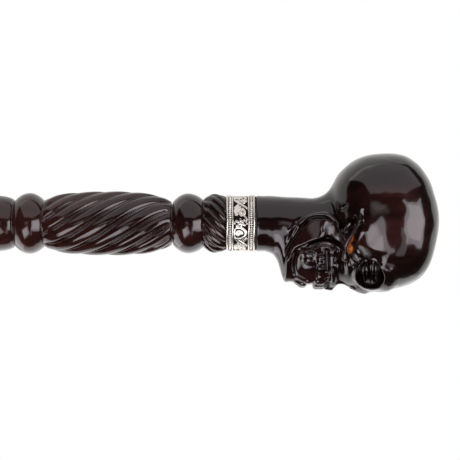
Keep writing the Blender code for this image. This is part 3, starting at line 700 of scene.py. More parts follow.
def teeth(clay):
    """Both rows, the rim of the lower gum and the fine line across the upper crowns."""
    s = 0.0
    for width, edge, turned_by, lean in UPPER:
        root = [(0.0, 30.2), (0.5, 32.5), (1.4, 35.0)]
        tooth(clay, s + width / 2, UPPER_ARCH, width, edge, CROWN_TOP, turned_by, lean, root, [0.9, 0.8, 0.5])
        s += width
    s = 0.0
    for width, edge, turned_by, lean in LOWER:
        foot = min(edge - LEAST_CROWN, LOWER_CROWN_FOOT)
        root = [(0.0, foot + 0.4), (0.9, foot - 1.6), (2.6, foot - 3.4)]
        tooth(clay, s + width / 2, LOWER_ARCH, width, foot, edge, turned_by, lean, root, [1.1, 0.8, 0.4])
        s += width
    rim = [(11.6, 12.6, 20.6), (11.7, 13.6, 19.2), (11.2, 16.6, 18.8), (10.0, 19.8, 19.6)]
    clay.add(bar(rim, [0.4, 0.6, 0.6, 0.4]), 0.4)
    fine = [(10.6, 28.6), (14.0, 28.7), (17.6, 28.9), (20.4, 29.0)]
    groove(clay, fine, 0.5, 0.5, 6.0, fade=0.1, sharp=True)


def finish_teeth(clay):
    """Sands the teeth and cuts the line of the upper gum."""
    soften(clay, [0, 10, 14], [24, 30, 31], 3)
    groove(clay, [(11.0, 30.9), (14.0, 31.0), (18.0, 31.2), (22.0, 31.5)], 0.75, 1.4, 0.0)
    groove(clay, [(22.0, 31.5), (25.0, 31.8), (31.0, 32.0)], 0.9, 0.5, 0.0, fade=0.05)


def hand_work(clay):
    """The faint unevenness that the carver's tools and sanding leave."""

    def amount(x, f, u):
        broad = np.cos(0.42 * x) * np.sin(0.46 * f + 1.3) * np.sin(0.52 * u + 0.7)
        small = np.cos(0.90 * x) * np.sin(0.83 * f + 0.4 + 0.2 * u) * np.sin(0.95 * u + 2.1)
        return 0.075 * broad + 0.022 * small

    clay.sink([0, -40, 1.5], [40, 40, 90], amount)


def bottom(clay):
    """The flat foot of the neck and the bore for the stud."""
    x, f, u = np.ix_(*clay.axes)
    bore = np.maximum(np.sqrt(x * x + f * f) - STUD_BORE_RADIUS, u - STUD_BORE_DEPTH)
    clay.d = np.maximum(np.maximum(clay.d, 0.0 - u), -bore)


def skull_field():
    clay = Clay(FIELD_LOW, FIELD_HIGH, FIELD_STEP)
    forms = (dome, face, temple, jaw, muzzle, cheek_arch, hollows, nose)
    for step in forms + (lines, teeth, finish_teeth, hand_work, bottom):
        step(clay)
    d = blurred(clay.d, 0.5)
    full = np.concatenate([d[::-1], d])
    axes = [np.concatenate([-clay.axes[0][::-1], clay.axes[0]]), clay.axes[1], clay.axes[2]]
    for axis in range(3):
        p = np.moveaxis(full, axis, 0)
        p[[0, -1]] = np.maximum(p[[0, -1]], 0.5)
    return axes, make_plain(full, FIELD_STEP * 0.02)


def stick_axes(p, rise):
    """Rows of (x, f, u) as the stick's (x, y, z), raised by some millimetres, or the other way round."""
    return np.stack([p[:, 0], -p[:, 1], p[:, 2] + rise], axis=1)


def skull(material):
    axes, d = skull_field()
    points, faces = surface_of(axes, d)
    slopes = np.gradient(d, *axes)
    for _ in range(2):
        normals = slopes_at(axes, slopes, points)
        points = points - normals * np.clip(sampled(axes, d, points), -0.1, 0.1)[:, None]
    points = stick_axes(points, SEAM_Z)
    obj = mesh_object("carved_skull", points, outward(points, [faces]), material)
    fewer = obj.modifiers.new("Fewer", "DECIMATE")
    fewer.ratio = min(1.0, SKULL_TRIANGLES / (2 * len(faces)))
    mesh = bpy.data.meshes.new_from_object(obj.evaluated_get(bpy.context.evaluated_depsgraph_get()))
    obj.modifiers.clear()
    obj.data = mesh
    mesh.name = "carved_skull"
    place = np.empty(len(mesh.vertices) * 3, np.float32)
    mesh.vertices.foreach_get("co", place)
    normals = slopes_at(axes, slopes, stick_axes(place.reshape(-1, 3) / MM, -SEAM_Z))
    mesh.normals_split_custom_set_from_vertices(stick_axes(normals, 0.0).tolist())
    place_piece(obj, "handle", "skull_wood", "skull_handle")


# Meshes

def mesh_object(name, points, faces, material):
    """An object from points in millimetres and arrays of faces."""
    mesh = bpy.data.meshes.new(name)
    mesh.vertices.add(len(points))
    mesh.vertices.foreach_set("co", (np.asarray(points) * MM).astype(np.float32).ravel())
    corners = np.concatenate([f.ravel() for f in faces]).astype(np.int32)
    sizes = np.concatenate([np.full(len(f), f.shape[1], np.int32) for f in faces])
    mesh.loops.add(len(corners))
    mesh.loops.foreach_set("vertex_index", corners)
    mesh.polygons.add(len(sizes))
    mesh.polygons.foreach_set("loop_start", np.concatenate([[0], np.cumsum(sizes)[:-1]]).astype(np.int32))
    mesh.update(calc_edges=True)
    mesh.validate()
    mesh.polygons.foreach_set("use_smooth", np.ones(len(sizes), bool))
    mesh.materials.append(material)
    made = bpy.data.objects.new(name, mesh)
    bpy.context.scene.collection.objects.link(made)
    return made


def outward(points, faces):
    """The faces, flipped if their solid's volume came out below zero."""
    total = 0.0
    for f in faces:
        a = points[f[:, 0]]
        for i in range(1, f.shape[1] - 1):
            total += float(np.einsum("ij,ij->i", a, np.cross(points[f[:, i]], points[f[:, i + 1]])).sum())
    return faces if total > 0 else [f[:, ::-1] for f in faces]


def skin(rings, closed=False):
    """Joins rings of points. A ring has as many as the one before it, twice or half as many, or just one."""
    starts = np.concatenate([[0], np.cumsum([len(r) for r in rings])])
    quads, triangles = [], []
    order = list(range(len(rings))) + ([0] if closed else [])
    for a, b in zip(order, order[1:]):
        na, nb = len(rings[a]), len(rings[b])
        ia, ib = starts[a] + np.arange(na), starts[b] + np.arange(nb)
        ja, jb = np.roll(ia, -1), np.roll(ib, -1)
        if na == nb:
            quads.append((ia, ja, jb, ib))
        elif nb == 1:
            triangles.append((ia, ja, np.full(na, ib[0])))
        elif na == 1:
            triangles.append((np.full(nb, ia[0]), jb, ib))
        elif nb == 2 * na:
            triangles += [(ia, ib[1::2], ib[::2]), (ia, ja, ib[1::2]), (ja, jb[1::2], ib[1::2])]
        else:
            triangles += [(ia[::2], ia[1::2], ib), (ia[1::2], jb, ib), (ia[1::2], ja[1::2], jb)]
    faces = [np.concatenate([np.stack(f, axis=1) for f in group]) for group in (quads, triangles) if group]
    points = np.concatenate(rings)
    return points, outward(points, faces)


def ring_at(radius, z, columns, twist=0.0):
    """One ring. radius may be a number or one for each column, and twist is in radians."""
    if columns == 1:
        return np.array([[0.0, 0.0, z]])
    angle = np.arange(columns) / columns * TURN + twist
    radius, z = np.broadcast_to(radius, angle.shape), np.broadcast_to(z, angle.shape)
    return np.stack([radius * np.cos(angle), radius * np.sin(angle), z], axis=1)


def eased(points, corner, steps):
    """The outline with each of its corners rounded to the radius given. The first and last point stay."""
    out = [points[0]]
    for a, b, c in zip(points, points[1:], points[2:]):
        a, b, c = np.array(a, float), np.array(b, float), np.array(c, float)
        la, lc = np.linalg.norm(a - b), np.linalg.norm(c - b)
        r = min(corner, la * 0.45, lc * 0.45)
        p, q = b + (a - b) / la * r, b + (c - b) / lc * r
        for i in range(steps + 1):
            t = i / steps
            out.append(tuple(p * (1 - t) ** 2 + 2 * b * t * (1 - t) + q * t * t))
    out.append(points[-1])
    return out


# Materials

BARE_WOOD_M = [((0.0116, -0.0114, 0.8793), 0.0029), ((0.0122, -0.0070, 0.8798), 0.0022)]


class Nodes:
    """Short calls for building the node tree of a material or world."""

    def __init__(self, owner):
        self.owner = owner
        owner.use_nodes = True
        self.tree = owner.node_tree
        self.shader = self.tree.nodes.get("Principled BSDF")
        if self.shader:
            self.place = self.add("ShaderNodeTexCoord").outputs["Object"]

    def add(self, kind, inputs=(), **settings):
        node = self.tree.nodes.new(kind)
        for key, value in settings.items():
            setattr(node, key, value)
        for key, value in dict(inputs).items():
            self.feed(node.inputs[key], value)
        return node

    def feed(self, socket, value):
        if isinstance(value, bpy.types.NodeSocket):
            self.tree.links.new(value, socket)
        else:
            socket.default_value = value

    def set(self, **values):
        for key, value in values.items():
            self.feed(self.shader.inputs[key.replace("_", " ")], value)

    def noise(self, scale, detail=3.0, roughness=0.5, stretch=(1, 1, 1), distortion=0.0):
        mapping = self.add("ShaderNodeMapping", {"Vector": self.place, "Scale": stretch})
        inputs = {"Vector": mapping.outputs[0], "Scale": scale, "Detail": detail}
        inputs.update({"Roughness": roughness, "Distortion": distortion})
        return self.add("ShaderNodeTexNoise", inputs).outputs["Fac"]

    def math(self, kind, a, b):
        return self.add("ShaderNodeMath", {0: a, 1: b}, operation=kind).outputs[0]

    def vector_math(self, kind, a, b):
        return self.add("ShaderNodeVectorMath", {0: a, 1: b}, operation=kind).outputs["Value"]

    def spread(self, value, from_low, from_high, to_low=0.0, to_high=1.0):
        inputs = {"Value": value, "From Min": from_low, "From Max": from_high}
        inputs.update({"To Min": to_low, "To Max": to_high})
        return self.add("ShaderNodeMapRange", inputs, interpolation_type="SMOOTHSTEP").outputs[0]

    def mix(self, share, one, other):
        node = self.add("ShaderNodeMix", {"Factor": share}, data_type="RGBA")
        for key, value in (("A", one), ("B", other)):
            self.feed(node.inputs[key], value if isinstance(value, bpy.types.NodeSocket) else (*value, 1.0))
        return node.outputs["Result"]

    def bump(self, height, distance, strength):
        inputs = {"Height": height, "Distance": distance, "Strength": strength}
        return self.add("ShaderNodeBump", inputs).outputs[0]

    def radius(self):
        """Distance from the stick's axis in metres."""
        split = self.add("ShaderNodeSeparateXYZ", {0: self.place})
        flat = self.add("ShaderNodeCombineXYZ", {0: split.outputs[0], 1: split.outputs[1]})
        return self.add("ShaderNodeVectorMath", {0: flat.outputs[0]}, operation="LENGTH").outputs["Value"]

    def near(self, centre, reach):
        """1 at the centre (in metres), falling to 0 at the reach."""
        return self.spread(self.vector_math("DISTANCE", self.place, centre), reach, reach * 0.55)


def lacquered_wood(name, dark, warm, share, bare=False):
    """Stained wood under gloss lacquer. share moves the stain's clouds towards dark."""
    n = Nodes(bpy.data.materials.new(name))
    streaks = n.noise(60, 5, 0.6, (1, 1, 0.12), 0.4)
    clouds = n.noise(28, 2, 0.5, (1, 1, 0.4))
    fine = n.noise(420, 3, 0.6, (1, 1, 0.08))
    tone = n.math("ADD", n.math("MULTIPLY", streaks, 0.40), n.math("MULTIPLY", clouds, 0.60))
    tone = n.math("ADD", tone, n.math("MULTIPLY", n.math("SUBTRACT", fine, 0.5), 0.20))
    colour = n.mix(n.spread(tone, 0.38 + share, 0.72 + share), dark, warm)
    if bare:
        raw = n.mix(n.spread(n.noise(900, 3, 0.6), 0.40, 0.62), (0.84, 0.31, 0.05), (0.36, 0.07, 0.016))
        spots = [n.near((side * x, y, z), reach) for (x, y, z), reach in BARE_WOOD_M for side in (-1, 1)]
        where = n.math("MAXIMUM", n.math("MAXIMUM", *spots[:2]), n.math("MAXIMUM", *spots[2:]))
        colour = n.mix(where, colour, raw)
    n.set(Base_Color=colour, Roughness=n.spread(clouds, 0.2, 0.8, 0.34, 0.44))
    n.set(Specular_IOR_Level=0.04, Specular_Tint=(1.0, 0.42, 0.36, 1.0))
    n.set(Coat_Weight=1.0, Coat_Roughness=0.10, Coat_IOR=1.5)
    n.set(Normal=n.bump(n.noise(240, 4, 0.6), 0.00002, 0.4))
    return n.owner


def antique_silver(name, low, high):
    """Bright metal with its hollows blackened, between two distances from the axis in metres."""
    n = Nodes(bpy.data.materials.new(name))
    worn = n.math("ADD", n.radius(), n.math("MULTIPLY", n.math("SUBTRACT", n.noise(900, 3), 0.5), 0.00012))
    height = n.spread(worn, low, high)
    tone = n.mix(n.noise(300, 3), (0.55, 0.525, 0.465), (0.76, 0.73, 0.68))
    tone = n.mix(n.spread(n.noise(70, 2), 0.52, 0.78), tone, (0.48, 0.40, 0.30))
    n.set(Base_Color=n.mix(height, (0.014, 0.012, 0.011), tone), Metallic=1.0)
    n.set(Roughness=n.spread(height, 0.0, 1.0, 0.60, 0.30))
    n.set(Normal=n.bump(n.noise(1800, 3), 0.00001, 0.6))
    return n.owner


def plain_metal(name, one, other, roughness):
    n = Nodes(bpy.data.materials.new(name))
    n.set(Base_Color=n.mix(n.noise(220, 4), one, other), Metallic=1.0)
    n.set(Roughness=n.spread(n.noise(700, 3), 0.2, 0.8, roughness * 0.8, roughness * 1.25))
    n.set(Normal=n.bump(n.noise(2600, 3, 0.5, (0.1, 0.1, 1.0)), 0.00001, 0.5))
    return n.owner


def matt(name, one, other, roughness, grain, depth):
    n = Nodes(bpy.data.materials.new(name))
    n.set(Base_Color=n.mix(n.noise(grain * 0.4, 4), one, other), Specular_IOR_Level=0.25)
    n.set(Roughness=n.spread(n.noise(grain, 3), 0.2, 0.8, roughness - 0.08, roughness + 0.08))
    n.set(Normal=n.bump(n.noise(grain * 2, 4), depth, 0.7))
    return n.owner


# The shaft. A pair is a radius and its height.

SHAFT_COLUMNS = 280
FOOT = (7.8, 8.2)
FOOT_EDGE = (8.6, 9.0)
TAPER_STEPS, TAPER_SPREAD, TAPER_RISE = 40, 4.0, 711.0
TAPER_TOP_Z = 720.5
SHOULDER_STEPS, RING_STEPS, BARREL_STEPS, BEAD_STEPS = 24, 34, 120, 36
SHOULDER = [(12.6, 722.0), (12.1, 725.6), (11.2, 728.4), (10.2, 729.6)]
RING = (13.7, 736.2)
RING_TOP_Z = 742.7
BARREL = [
    (10.3, 742.7), (11.6, 745.2), (12.8, 748.8), (13.7, 754.5), (14.2, 762.0), (14.45, 772.0), (14.1, 783.5),
    (13.1, 791.0), (11.6, 796.4), (9.8, 799.9),
]
VALLEY_RADIUS, VALLEY_Z = BARREL[-1]
V_GROOVE_RADIUS = 8.5
BALL = (13.5, 807.3)
BALL_TOP_RADIUS, BALL_TOP_Z = 10.6, 814.2
TWIST = (13.3, 819.3)
TWIST_TOP_RADIUS = 11.8
COLLAR_FOOT_Z = 824.4
COLLAR_TOP_Z = 837.4
TENON_RADIUS = 10.95
SOCKET_RADIUS, SOCKET_FOOT_Z = 7.25, 817.9
STUD_HOLE_RADIUS, STUD_HOLE_FOOT_Z = 5.55, 817.0

# Ribs, their turn in radians a millimetre, and their depth
BARREL_RIBS, BARREL_TURN, BARREL_DEPTH = 10, -0.0524, 1.5
TWIST_RIBS, TWIST_TURN, TWIST_DEPTH = 14, 0.085, 1.5
BARREL_FACE_Z = 775.5
BARREL_FADE, TWIST_FADE = 2.5, 1.0
GROOVE_SHARE = 0.18


def bead(low_radius, high_radius, low_z, high_z, widest, count):
    """Points up a turned bead."""
    points = []
    for i in range(count + 1):
        z = low_z + (high_z - low_z) * (1 - math.cos(math.pi * i / count)) / 2
        if z < widest[1]:
            edge, share = low_radius, (widest[1] - z) / (widest[1] - low_z)
        else:
            edge, share = high_radius, (z - widest[1]) / (high_z - widest[1])
        points.append((edge + (widest[0] - edge) * max(0.0, 1 - share * share) ** 0.95, z))
    return points


def smooth_profile(knots, count):
    """Points on the smooth curve through (radius, z) knots, evenly spaced in height."""
    points = []
    for i in range(count + 1):
        z = knots[0][1] + (knots[-1][1] - knots[0][1]) * i / count
        k = max(j for j in range(len(knots) - 1) if knots[j][1] <= z + 1e-9)
        (r0, z0), (r1, z1) = knots[k], knots[k + 1]
        before, after = knots[max(k - 1, 0)], knots[min(k + 2, len(knots) - 1)]
        slope0 = (r1 - before[0]) / (z1 - before[1])
        slope1 = (after[0] - r0) / (after[1] - z0)
        t, span = (z - z0) / (z1 - z0), z1 - z0
        radius = r0 * (1 + 2 * t) * (1 - t) ** 2 + slope0 * span * t * (1 - t) ** 2
        radius += r1 * t * t * (3 - 2 * t) + slope1 * span * t * t * (t - 1)
        points.append((radius, z))
    return points


def barrel_rib(phase):
    """Depth, as a share, across one rib: a groove with a thin ridge in it, and a broad crown."""
    ridge = 1.0 - 0.55 * (1 - np.abs(phase / GROOVE_SHARE * 2 - 1))
    crown = np.abs((phase - GROOVE_SHARE) / (1 - GROOVE_SHARE) * 2 - 1) ** 3.0
    return np.where(phase < GROOVE_SHARE, ridge, crown)


def twist_rib(phase):
    return np.abs(phase * 2 - 1) ** 2.2


def turn_at(z):
    """How far the ribs have turned at a height, in radians."""
    turn = BARREL_TURN * (min(max(z, RING_TOP_Z), VALLEY_Z) - BARREL_FACE_Z)
    return turn + TWIST_TURN * (min(max(z, BALL_TOP_Z), COLLAR_FOOT_Z) - BALL_TOP_Z)


def shaft_rings():
    lower = [FOOT, FOOT_EDGE]
    for i in range(1, TAPER_STEPS):
        spread, rise = TAPER_SPREAD * i / TAPER_STEPS, TAPER_RISE * i / TAPER_STEPS
        lower.append((FOOT_EDGE[0] + spread, FOOT_EDGE[1] + rise))
    lower = eased(lower + [(SHOULDER[0][0], TAPER_TOP_Z)], 0.5, 2)
    rings = [ring_at(0, FOOT[1], 1)] + [ring_at(r, z, SHAFT_COLUMNS // 2, turn_at(z)) for r, z in lower]
    upper = smooth_profile(SHOULDER, SHOULDER_STEPS)
    upper += bead(SHOULDER[-1][0], BARREL[0][0], SHOULDER[-1][1], RING_TOP_Z, RING, RING_STEPS)[1:]
    upper += smooth_profile(BARREL, BARREL_STEPS)[1:] + [(V_GROOVE_RADIUS, VALLEY_Z + 0.4)]
    upper += bead(VALLEY_RADIUS, BALL_TOP_RADIUS, VALLEY_Z + 0.8, BALL_TOP_Z, BALL, BEAD_STEPS)
    upper += bead(BALL_TOP_RADIUS, TWIST_TOP_RADIUS, BALL_TOP_Z, COLLAR_FOOT_Z, TWIST, BEAD_STEPS)[1:]
    columns = np.arange(SHAFT_COLUMNS) / SHAFT_COLUMNS
    for r, z in upper:
        depth = np.zeros(SHAFT_COLUMNS)
        if RING_TOP_Z < z < VALLEY_Z:
            fade = min(1.0, (VALLEY_Z - z) / BARREL_FADE, (z - RING_TOP_Z) / BARREL_FADE)
            depth = BARREL_DEPTH * fade * barrel_rib((columns * BARREL_RIBS) % 1.0)
        elif BALL_TOP_Z < z < COLLAR_FOOT_Z:
            fade = min(1.0, (z - BALL_TOP_Z) / TWIST_FADE)
            depth = TWIST_DEPTH * fade * twist_rib((columns * TWIST_RIBS) % 1.0)
        rings.append(ring_at(r - depth, z, SHAFT_COLUMNS, turn_at(z)))
    inside = [(TENON_RADIUS, COLLAR_FOOT_Z), (TENON_RADIUS, COLLAR_TOP_Z)]
    inside += [(SOCKET_RADIUS, COLLAR_TOP_Z), (SOCKET_RADIUS, SOCKET_FOOT_Z)]
    inside += [(STUD_HOLE_RADIUS, SOCKET_FOOT_Z), (STUD_HOLE_RADIUS, STUD_HOLE_FOOT_Z)]
    rings += [ring_at(r, z, SHAFT_COLUMNS, turn_at(COLLAR_FOOT_Z)) for r, z in inside]
    return rings + [ring_at(0, STUD_HOLE_FOOT_Z, 1)]


# The collar

COLLAR_COLUMNS = 768
COLLAR_ROWS = 58
SCROLL_UNITS = 4
RECESS_RADIUS = 11.78
BAND_RADIUS = 12.3
BAND_BORE, BAND_SEAT = 11.2, 11.7
BAND_BORDER = 0.12
RIM_HEIGHT = 3.3
RIM_GAP = 0.05
PEARLS = 76
RIM_COLUMNS = PEARLS * 12
PEARL_HALF_WIDTH, PEARL_HALF_HEIGHT, PEARL_RISE = 0.49, 0.70, 0.72
PEARL_BED_RADIUS, PEARL_PITCH_RADIUS, PEARL_MIDDLE = 11.95, 12.1, 1.71
PEARL_ROW_FOOT, PEARL_ROW_HEAD, PEARL_STEPS = 1.0, 2.42, 17
RIM_FOOT = [
    (11.75, 0.0), (11.9, 0.0), (12.45, 0.08), (12.7, 0.3), (12.75, 0.5), (12.65, 0.75), (12.35, 0.92),
    (11.95, 0.98),
]
RIM_HEAD = [
    (11.95, 2.44), (12.25, 2.5), (12.42, 2.65), (12.45, 2.85), (12.38, 3.05), (12.2, 3.18), (11.75, 3.2),
]


def spiral(centre, start, turns, radius, count=40):
    """A volute that winds in from the angle start, in turns of a circle."""
    points = []
    for i in range(count + 1):
        t = i / count
        angle = (start + turns * t) * TURN
        r = radius * (1 - t) ** 0.8
        points.append((centre[0] + r * math.cos(angle), centre[1] + r * math.sin(angle)))
    return points


def stroke_height(points, widths, s, h, period):
    """A stroke with rounded sides along a line, as a height field of 0 to 1 that wraps round the band."""
    best = np.zeros(np.broadcast(s, h).shape)
    line = np.array(points, float)
    w = np.interp(np.linspace(0, 1, len(line)), np.linspace(0, 1, len(widths)), widths)
    for a, b, wa, wb in zip(line[:-1], line[1:], w[:-1], w[1:]):
        run = b - a
        ds = (s - a[0] + period / 2) % period - period / 2
        dh = h - a[1]
        t = np.clip((ds * run[0] + dh * run[1]) / (run @ run + 1e-9), 0, 1)
        d = np.hypot(ds - t * run[0], dh - t * run[1])
        width = wa + t * (wb - wa)
        best = np.maximum(best, np.sqrt(np.clip(1 - (d / width) ** 4, 0, 1)))
    return best


def scroll_height(s, h, period):
    """One unit of the scrollwork: a volute, a flower, a volute under an arch, and crossed leaves."""
    q = period / 4
    bow = np.linspace(-0.35, math.pi + 0.35, 22)
    arch = [(q + 2.75 * math.cos(a), -0.9 + 3.2 * math.sin(a)) for a in bow]
    volutes = [
        (spiral((-q, 0.25), 0.80, -1.45, 2.20), [0.72, 0.70, 0.55, 0.60]),
        ([(-q + 0.7, -2.2), (-q - 1.0, -2.6), (-q - 2.6, -1.9), (-q - 3.0, -0.4)], [0.65, 0.70, 0.60, 0.45]),
        ([(-q + 1.9, 1.9), (-q + 2.9, 2.5), (-q + 4.0, 2.3)], [0.50, 0.60, 0.45]),
        (arch, [0.55, 0.68, 0.70, 0.68, 0.55]),
        (spiral((q + 0.1, -0.9), 0.25, 1.30, 1.40), [0.68, 0.62, 0.55]),
        ([(q - 1.9, -2.6), (q - 0.4, -2.9), (q + 1.3, -2.7)], [0.45, 0.55, 0.45]),
    ]
    flower = [
        ([(0.0, 0.0), (0.05, 0.05)], [0.85, 0.85]), ([(0.5, 1.0), (0.9, 1.8)], [0.65, 0.60]),
        ([(-0.7, 0.9), (-1.3, 1.5)], [0.60, 0.55]), ([(0.7, -0.9), (1.3, -1.7)], [0.62, 0.60]),
        ([(-0.5, -1.1), (-1.0, -2.0)], [0.62, 0.60]), ([(1.1, 0.1), (1.8, 0.3)], [0.50, 0.45]),
        ([(-1.1, -0.1), (-1.9, -0.2)], [0.50, 0.45]), ([(-0.4, 2.6), (0.4, 2.8)], [0.42, 0.42]),
        ([(0.3, -2.7), (-0.4, -2.8)], [0.42, 0.42]),
    ]
    leaves = [
        ([(-2.6, -2.6), (-0.6, -0.8), (0.9, 0.9), (2.4, 2.7)], [0.55, 0.75, 0.75, 0.55]),
        ([(-2.2, 2.5), (-0.8, 1.3)], [0.65, 0.68]), ([(0.8, -1.2), (2.2, -2.5)], [0.68, 0.62]),
        ([(-3.0, 0.8), (-1.6, 0.3)], [0.52, 0.55]), ([(1.7, -0.2), (3.0, -0.8)], [0.55, 0.50]),
        ([(2.6, 1.0), (3.4, 0.6)], [0.45, 0.45]),
    ]
    total = np.zeros(np.broadcast(s, h).shape)
    for middle, strokes in ((0.0, volutes + flower), (period / 2, leaves)):
        for points, widths in strokes:
            moved = [(middle + x, y) for x, y in points]
            total = np.maximum(total, stroke_height(moved, widths, s, h, period))
    return total


def collar_rings(foot):
    """The band's rings from the bore's foot up the bore, over the top and down the outer side."""
    low, high = foot + RIM_HEIGHT, COLLAR_TOP_Z - RIM_HEIGHT
    unit = COLLAR_COLUMNS // SCROLL_UNITS
    period = BAND_RADIUS * TURN / SCROLL_UNITS
    s = np.arange(unit) / unit * period
    half = (high - low) / 2
    heights = np.linspace(half, -half, COLLAR_ROWS)
    relief = np.tile(scroll_height(s[None, :], heights[:, None], period), (1, SCROLL_UNITS))
    border = np.clip((half - np.abs(heights)) / BAND_BORDER, 0, 1)[:, None]
    radius = RECESS_RADIUS + (BAND_RADIUS - RECESS_RADIUS) * relief * border
    rows = [(BAND_BORE, foot), (BAND_BORE, COLLAR_TOP_Z), (BAND_SEAT, COLLAR_TOP_Z), (BAND_SEAT, high)]
    rows += [(radius[i], (low + high) / 2 + heights[i]) for i in range(COLLAR_ROWS)]
    rows += [(BAND_SEAT, low), (BAND_SEAT, foot)]
    return [ring_at(r, z, COLLAR_COLUMNS) for r, z in rows]


def rim_rings(foot, mirrored):
    """A rim with a plain ring at each edge and a row of pearls between them."""
    low, span = foot + RIM_GAP, RIM_HEAD[-1][1]
    share = (np.arange(RIM_COLUMNS) / RIM_COLUMNS * PEARLS) % 1.0 - 0.5
    across = share * TURN * PEARL_PITCH_RADIUS / PEARLS
    rows = list(RIM_FOOT)
    for z in np.linspace(PEARL_ROW_FOOT, PEARL_ROW_HEAD, PEARL_STEPS):
        away = np.hypot(across / PEARL_HALF_WIDTH, (z - PEARL_MIDDLE) / PEARL_HALF_HEIGHT)
        rows.append((PEARL_BED_RADIUS + PEARL_RISE * np.sqrt(np.clip(1 - away ** 2, 0, 1)), z))
    return [ring_at(r, low + span - z if mirrored else low + z, RIM_COLUMNS) for r, z in rows + RIM_HEAD]


# Small parts

THREAD_COLUMNS = 64
THREAD_PITCH = 1.5
STUD_FOOT_Z, STUD_TOP_Z, STUD_RADIUS, STUD_END_RADIUS = 822.5, 867.0, 4.8, 3.75
INSERT_LENGTH, INSERT_RADIUS, INSERT_BORE, INSERT_END_RADIUS = 19.0, 7.0, 5.0, 6.6
BORE_CREST, BORE_THREAD_DEPTH = 5.05, 0.5
WOOD_THREAD_PITCH, WOOD_THREAD_DEPTH = 2.5, 0.55
STUD_THREAD_DEPTH = 0.9
TIP_COLUMNS = 120
TIP_TOP_Z, TIP_BORE, TIP_FLOOR_Z = 36.0, 8.85, 5.0
TIP_OUTSIDE = [
    (10.6, 36.0), (11.2, 35.2), (11.2, 32.0), (10.7, 31.2), (10.6, 29.5), (10.9, 29.0), (10.9, 27.6),
    (10.6, 27.1), (10.75, 25.0), (11.05, 24.5), (11.05, 23.1), (10.8, 22.6), (11.3, 18.0), (12.1, 13.0),
    (12.8, 8.9), (13.7, 7.4), (14.2, 6.3), (14.2, 1.4), (13.0, 0.0), (11.6, 0.0), (11.2, 0.8), (10.2, 0.8),
    (9.8, 0.0), (8.4, 0.0), (8.0, 0.8), (7.0, 0.8), (6.6, 0.0), (5.2, 0.0), (4.8, 0.8), (3.8, 0.8),
    (3.4, 0.0), (0, 0),
]


def thread_depth(z, pitch):
    """0 at the crest and 1 in the root of a 60-degree thread, round the ring at a height."""
    phase = (z / pitch - np.arange(THREAD_COLUMNS) / THREAD_COLUMNS) % 1.0
    return np.clip((np.abs(phase * 2 - 1) * 1.25 - 0.12), 0, 1)


def stud_rings():
    rings = [ring_at(0, STUD_TOP_Z, 1), ring_at(STUD_END_RADIUS, STUD_TOP_Z, THREAD_COLUMNS)]
    for z in np.arange(STUD_TOP_Z - 0.15, STUD_FOOT_Z + 0.1, -THREAD_PITCH / 9):
        depth = STUD_THREAD_DEPTH * thread_depth(z, THREAD_PITCH)
        lead = max(0.0, 1.0 - (STUD_TOP_Z - z), 1.0 - (z - STUD_FOOT_Z))
        rings.append(ring_at(np.minimum(STUD_RADIUS - depth, STUD_RADIUS - lead), z, THREAD_COLUMNS))
    return rings + [ring_at(STUD_END_RADIUS, STUD_FOOT_Z, THREAD_COLUMNS), ring_at(0, STUD_FOOT_Z, 1)]


def insert_rings():
    top, low = COLLAR_TOP_Z, COLLAR_TOP_Z - INSERT_LENGTH
    rows = [(INSERT_BORE, low)]
    for z in np.arange(low + 0.5, top - 0.5, THREAD_PITCH / 7):
        rows.append((BORE_CREST + BORE_THREAD_DEPTH * (1 - thread_depth(z, THREAD_PITCH)), z))
    rows += [(INSERT_BORE, top - 0.3), (INSERT_BORE + 0.3, top)]
    rows += [(INSERT_RADIUS - 0.3, top), (INSERT_RADIUS, top - 0.3)]
    for z in np.arange(top - 1.2, low + 1.0, -WOOD_THREAD_PITCH / 8):
        rows.append((INSERT_RADIUS - WOOD_THREAD_DEPTH * thread_depth(z, WOOD_THREAD_PITCH), z))
    return [ring_at(r, z, THREAD_COLUMNS) for r, z in rows + [(INSERT_END_RADIUS, low)]]


def tip_rings():
    taper = (SHOULDER[0][0] - FOOT_EDGE[0]) / (SHOULDER[0][1] - FOOT[1])
    mouth = TIP_BORE + taper * (TIP_TOP_Z - TIP_FLOOR_Z)
    inside = [(0, TIP_FLOOR_Z), (TIP_BORE, TIP_FLOOR_Z), (mouth, 35.3), (mouth + 0.5, TIP_TOP_Z)]
    return [ring_at(r, z, 1 if r == 0 else TIP_COLUMNS) for r, z in eased(inside + TIP_OUTSIDE, 0.35, 3)]


# The floor

FLOOR_COLUMNS = 96
FLOOR_RADII = (4000.0, 1500.0, 400.0)


def floor():
    n = Nodes(bpy.data.materials.new("pale_floor"))
    n.set(Base_Color=n.mix(n.noise(3, 2), (0.80, 0.80, 0.80), (0.84, 0.84, 0.84)), Roughness=0.9)
    n.set(Specular_IOR_Level=0.1)
    rings = [ring_at(radius, 0.0, FLOOR_COLUMNS) for radius in FLOOR_RADII] + [ring_at(0, 0.0, 1)]
    made = mesh_object("floor", *skin(rings), n.owner)
    made.visible_glossy = False


# Light

SKULL_MIDDLE_M = (0.0, 0.0, 0.893)
LAMP_COLOUR = (0.985, 0.945, 1.0)
WHITE = (1.0, 1.0, 1.0, 1.0)
REFLECTED_WHITE = (1.0, 0.99, 0.98, 1.0)
BRIGHT_SIDE = (0.97, 0.0, -0.25)
BRIGHT_FROM, BRIGHT_TO = 0.12, 0.22
DARK_SIDE_STRENGTH, BRIGHT_SIDE_STRENGTH, DIFFUSE_STRENGTH = 0.02, 0.95, 0.45


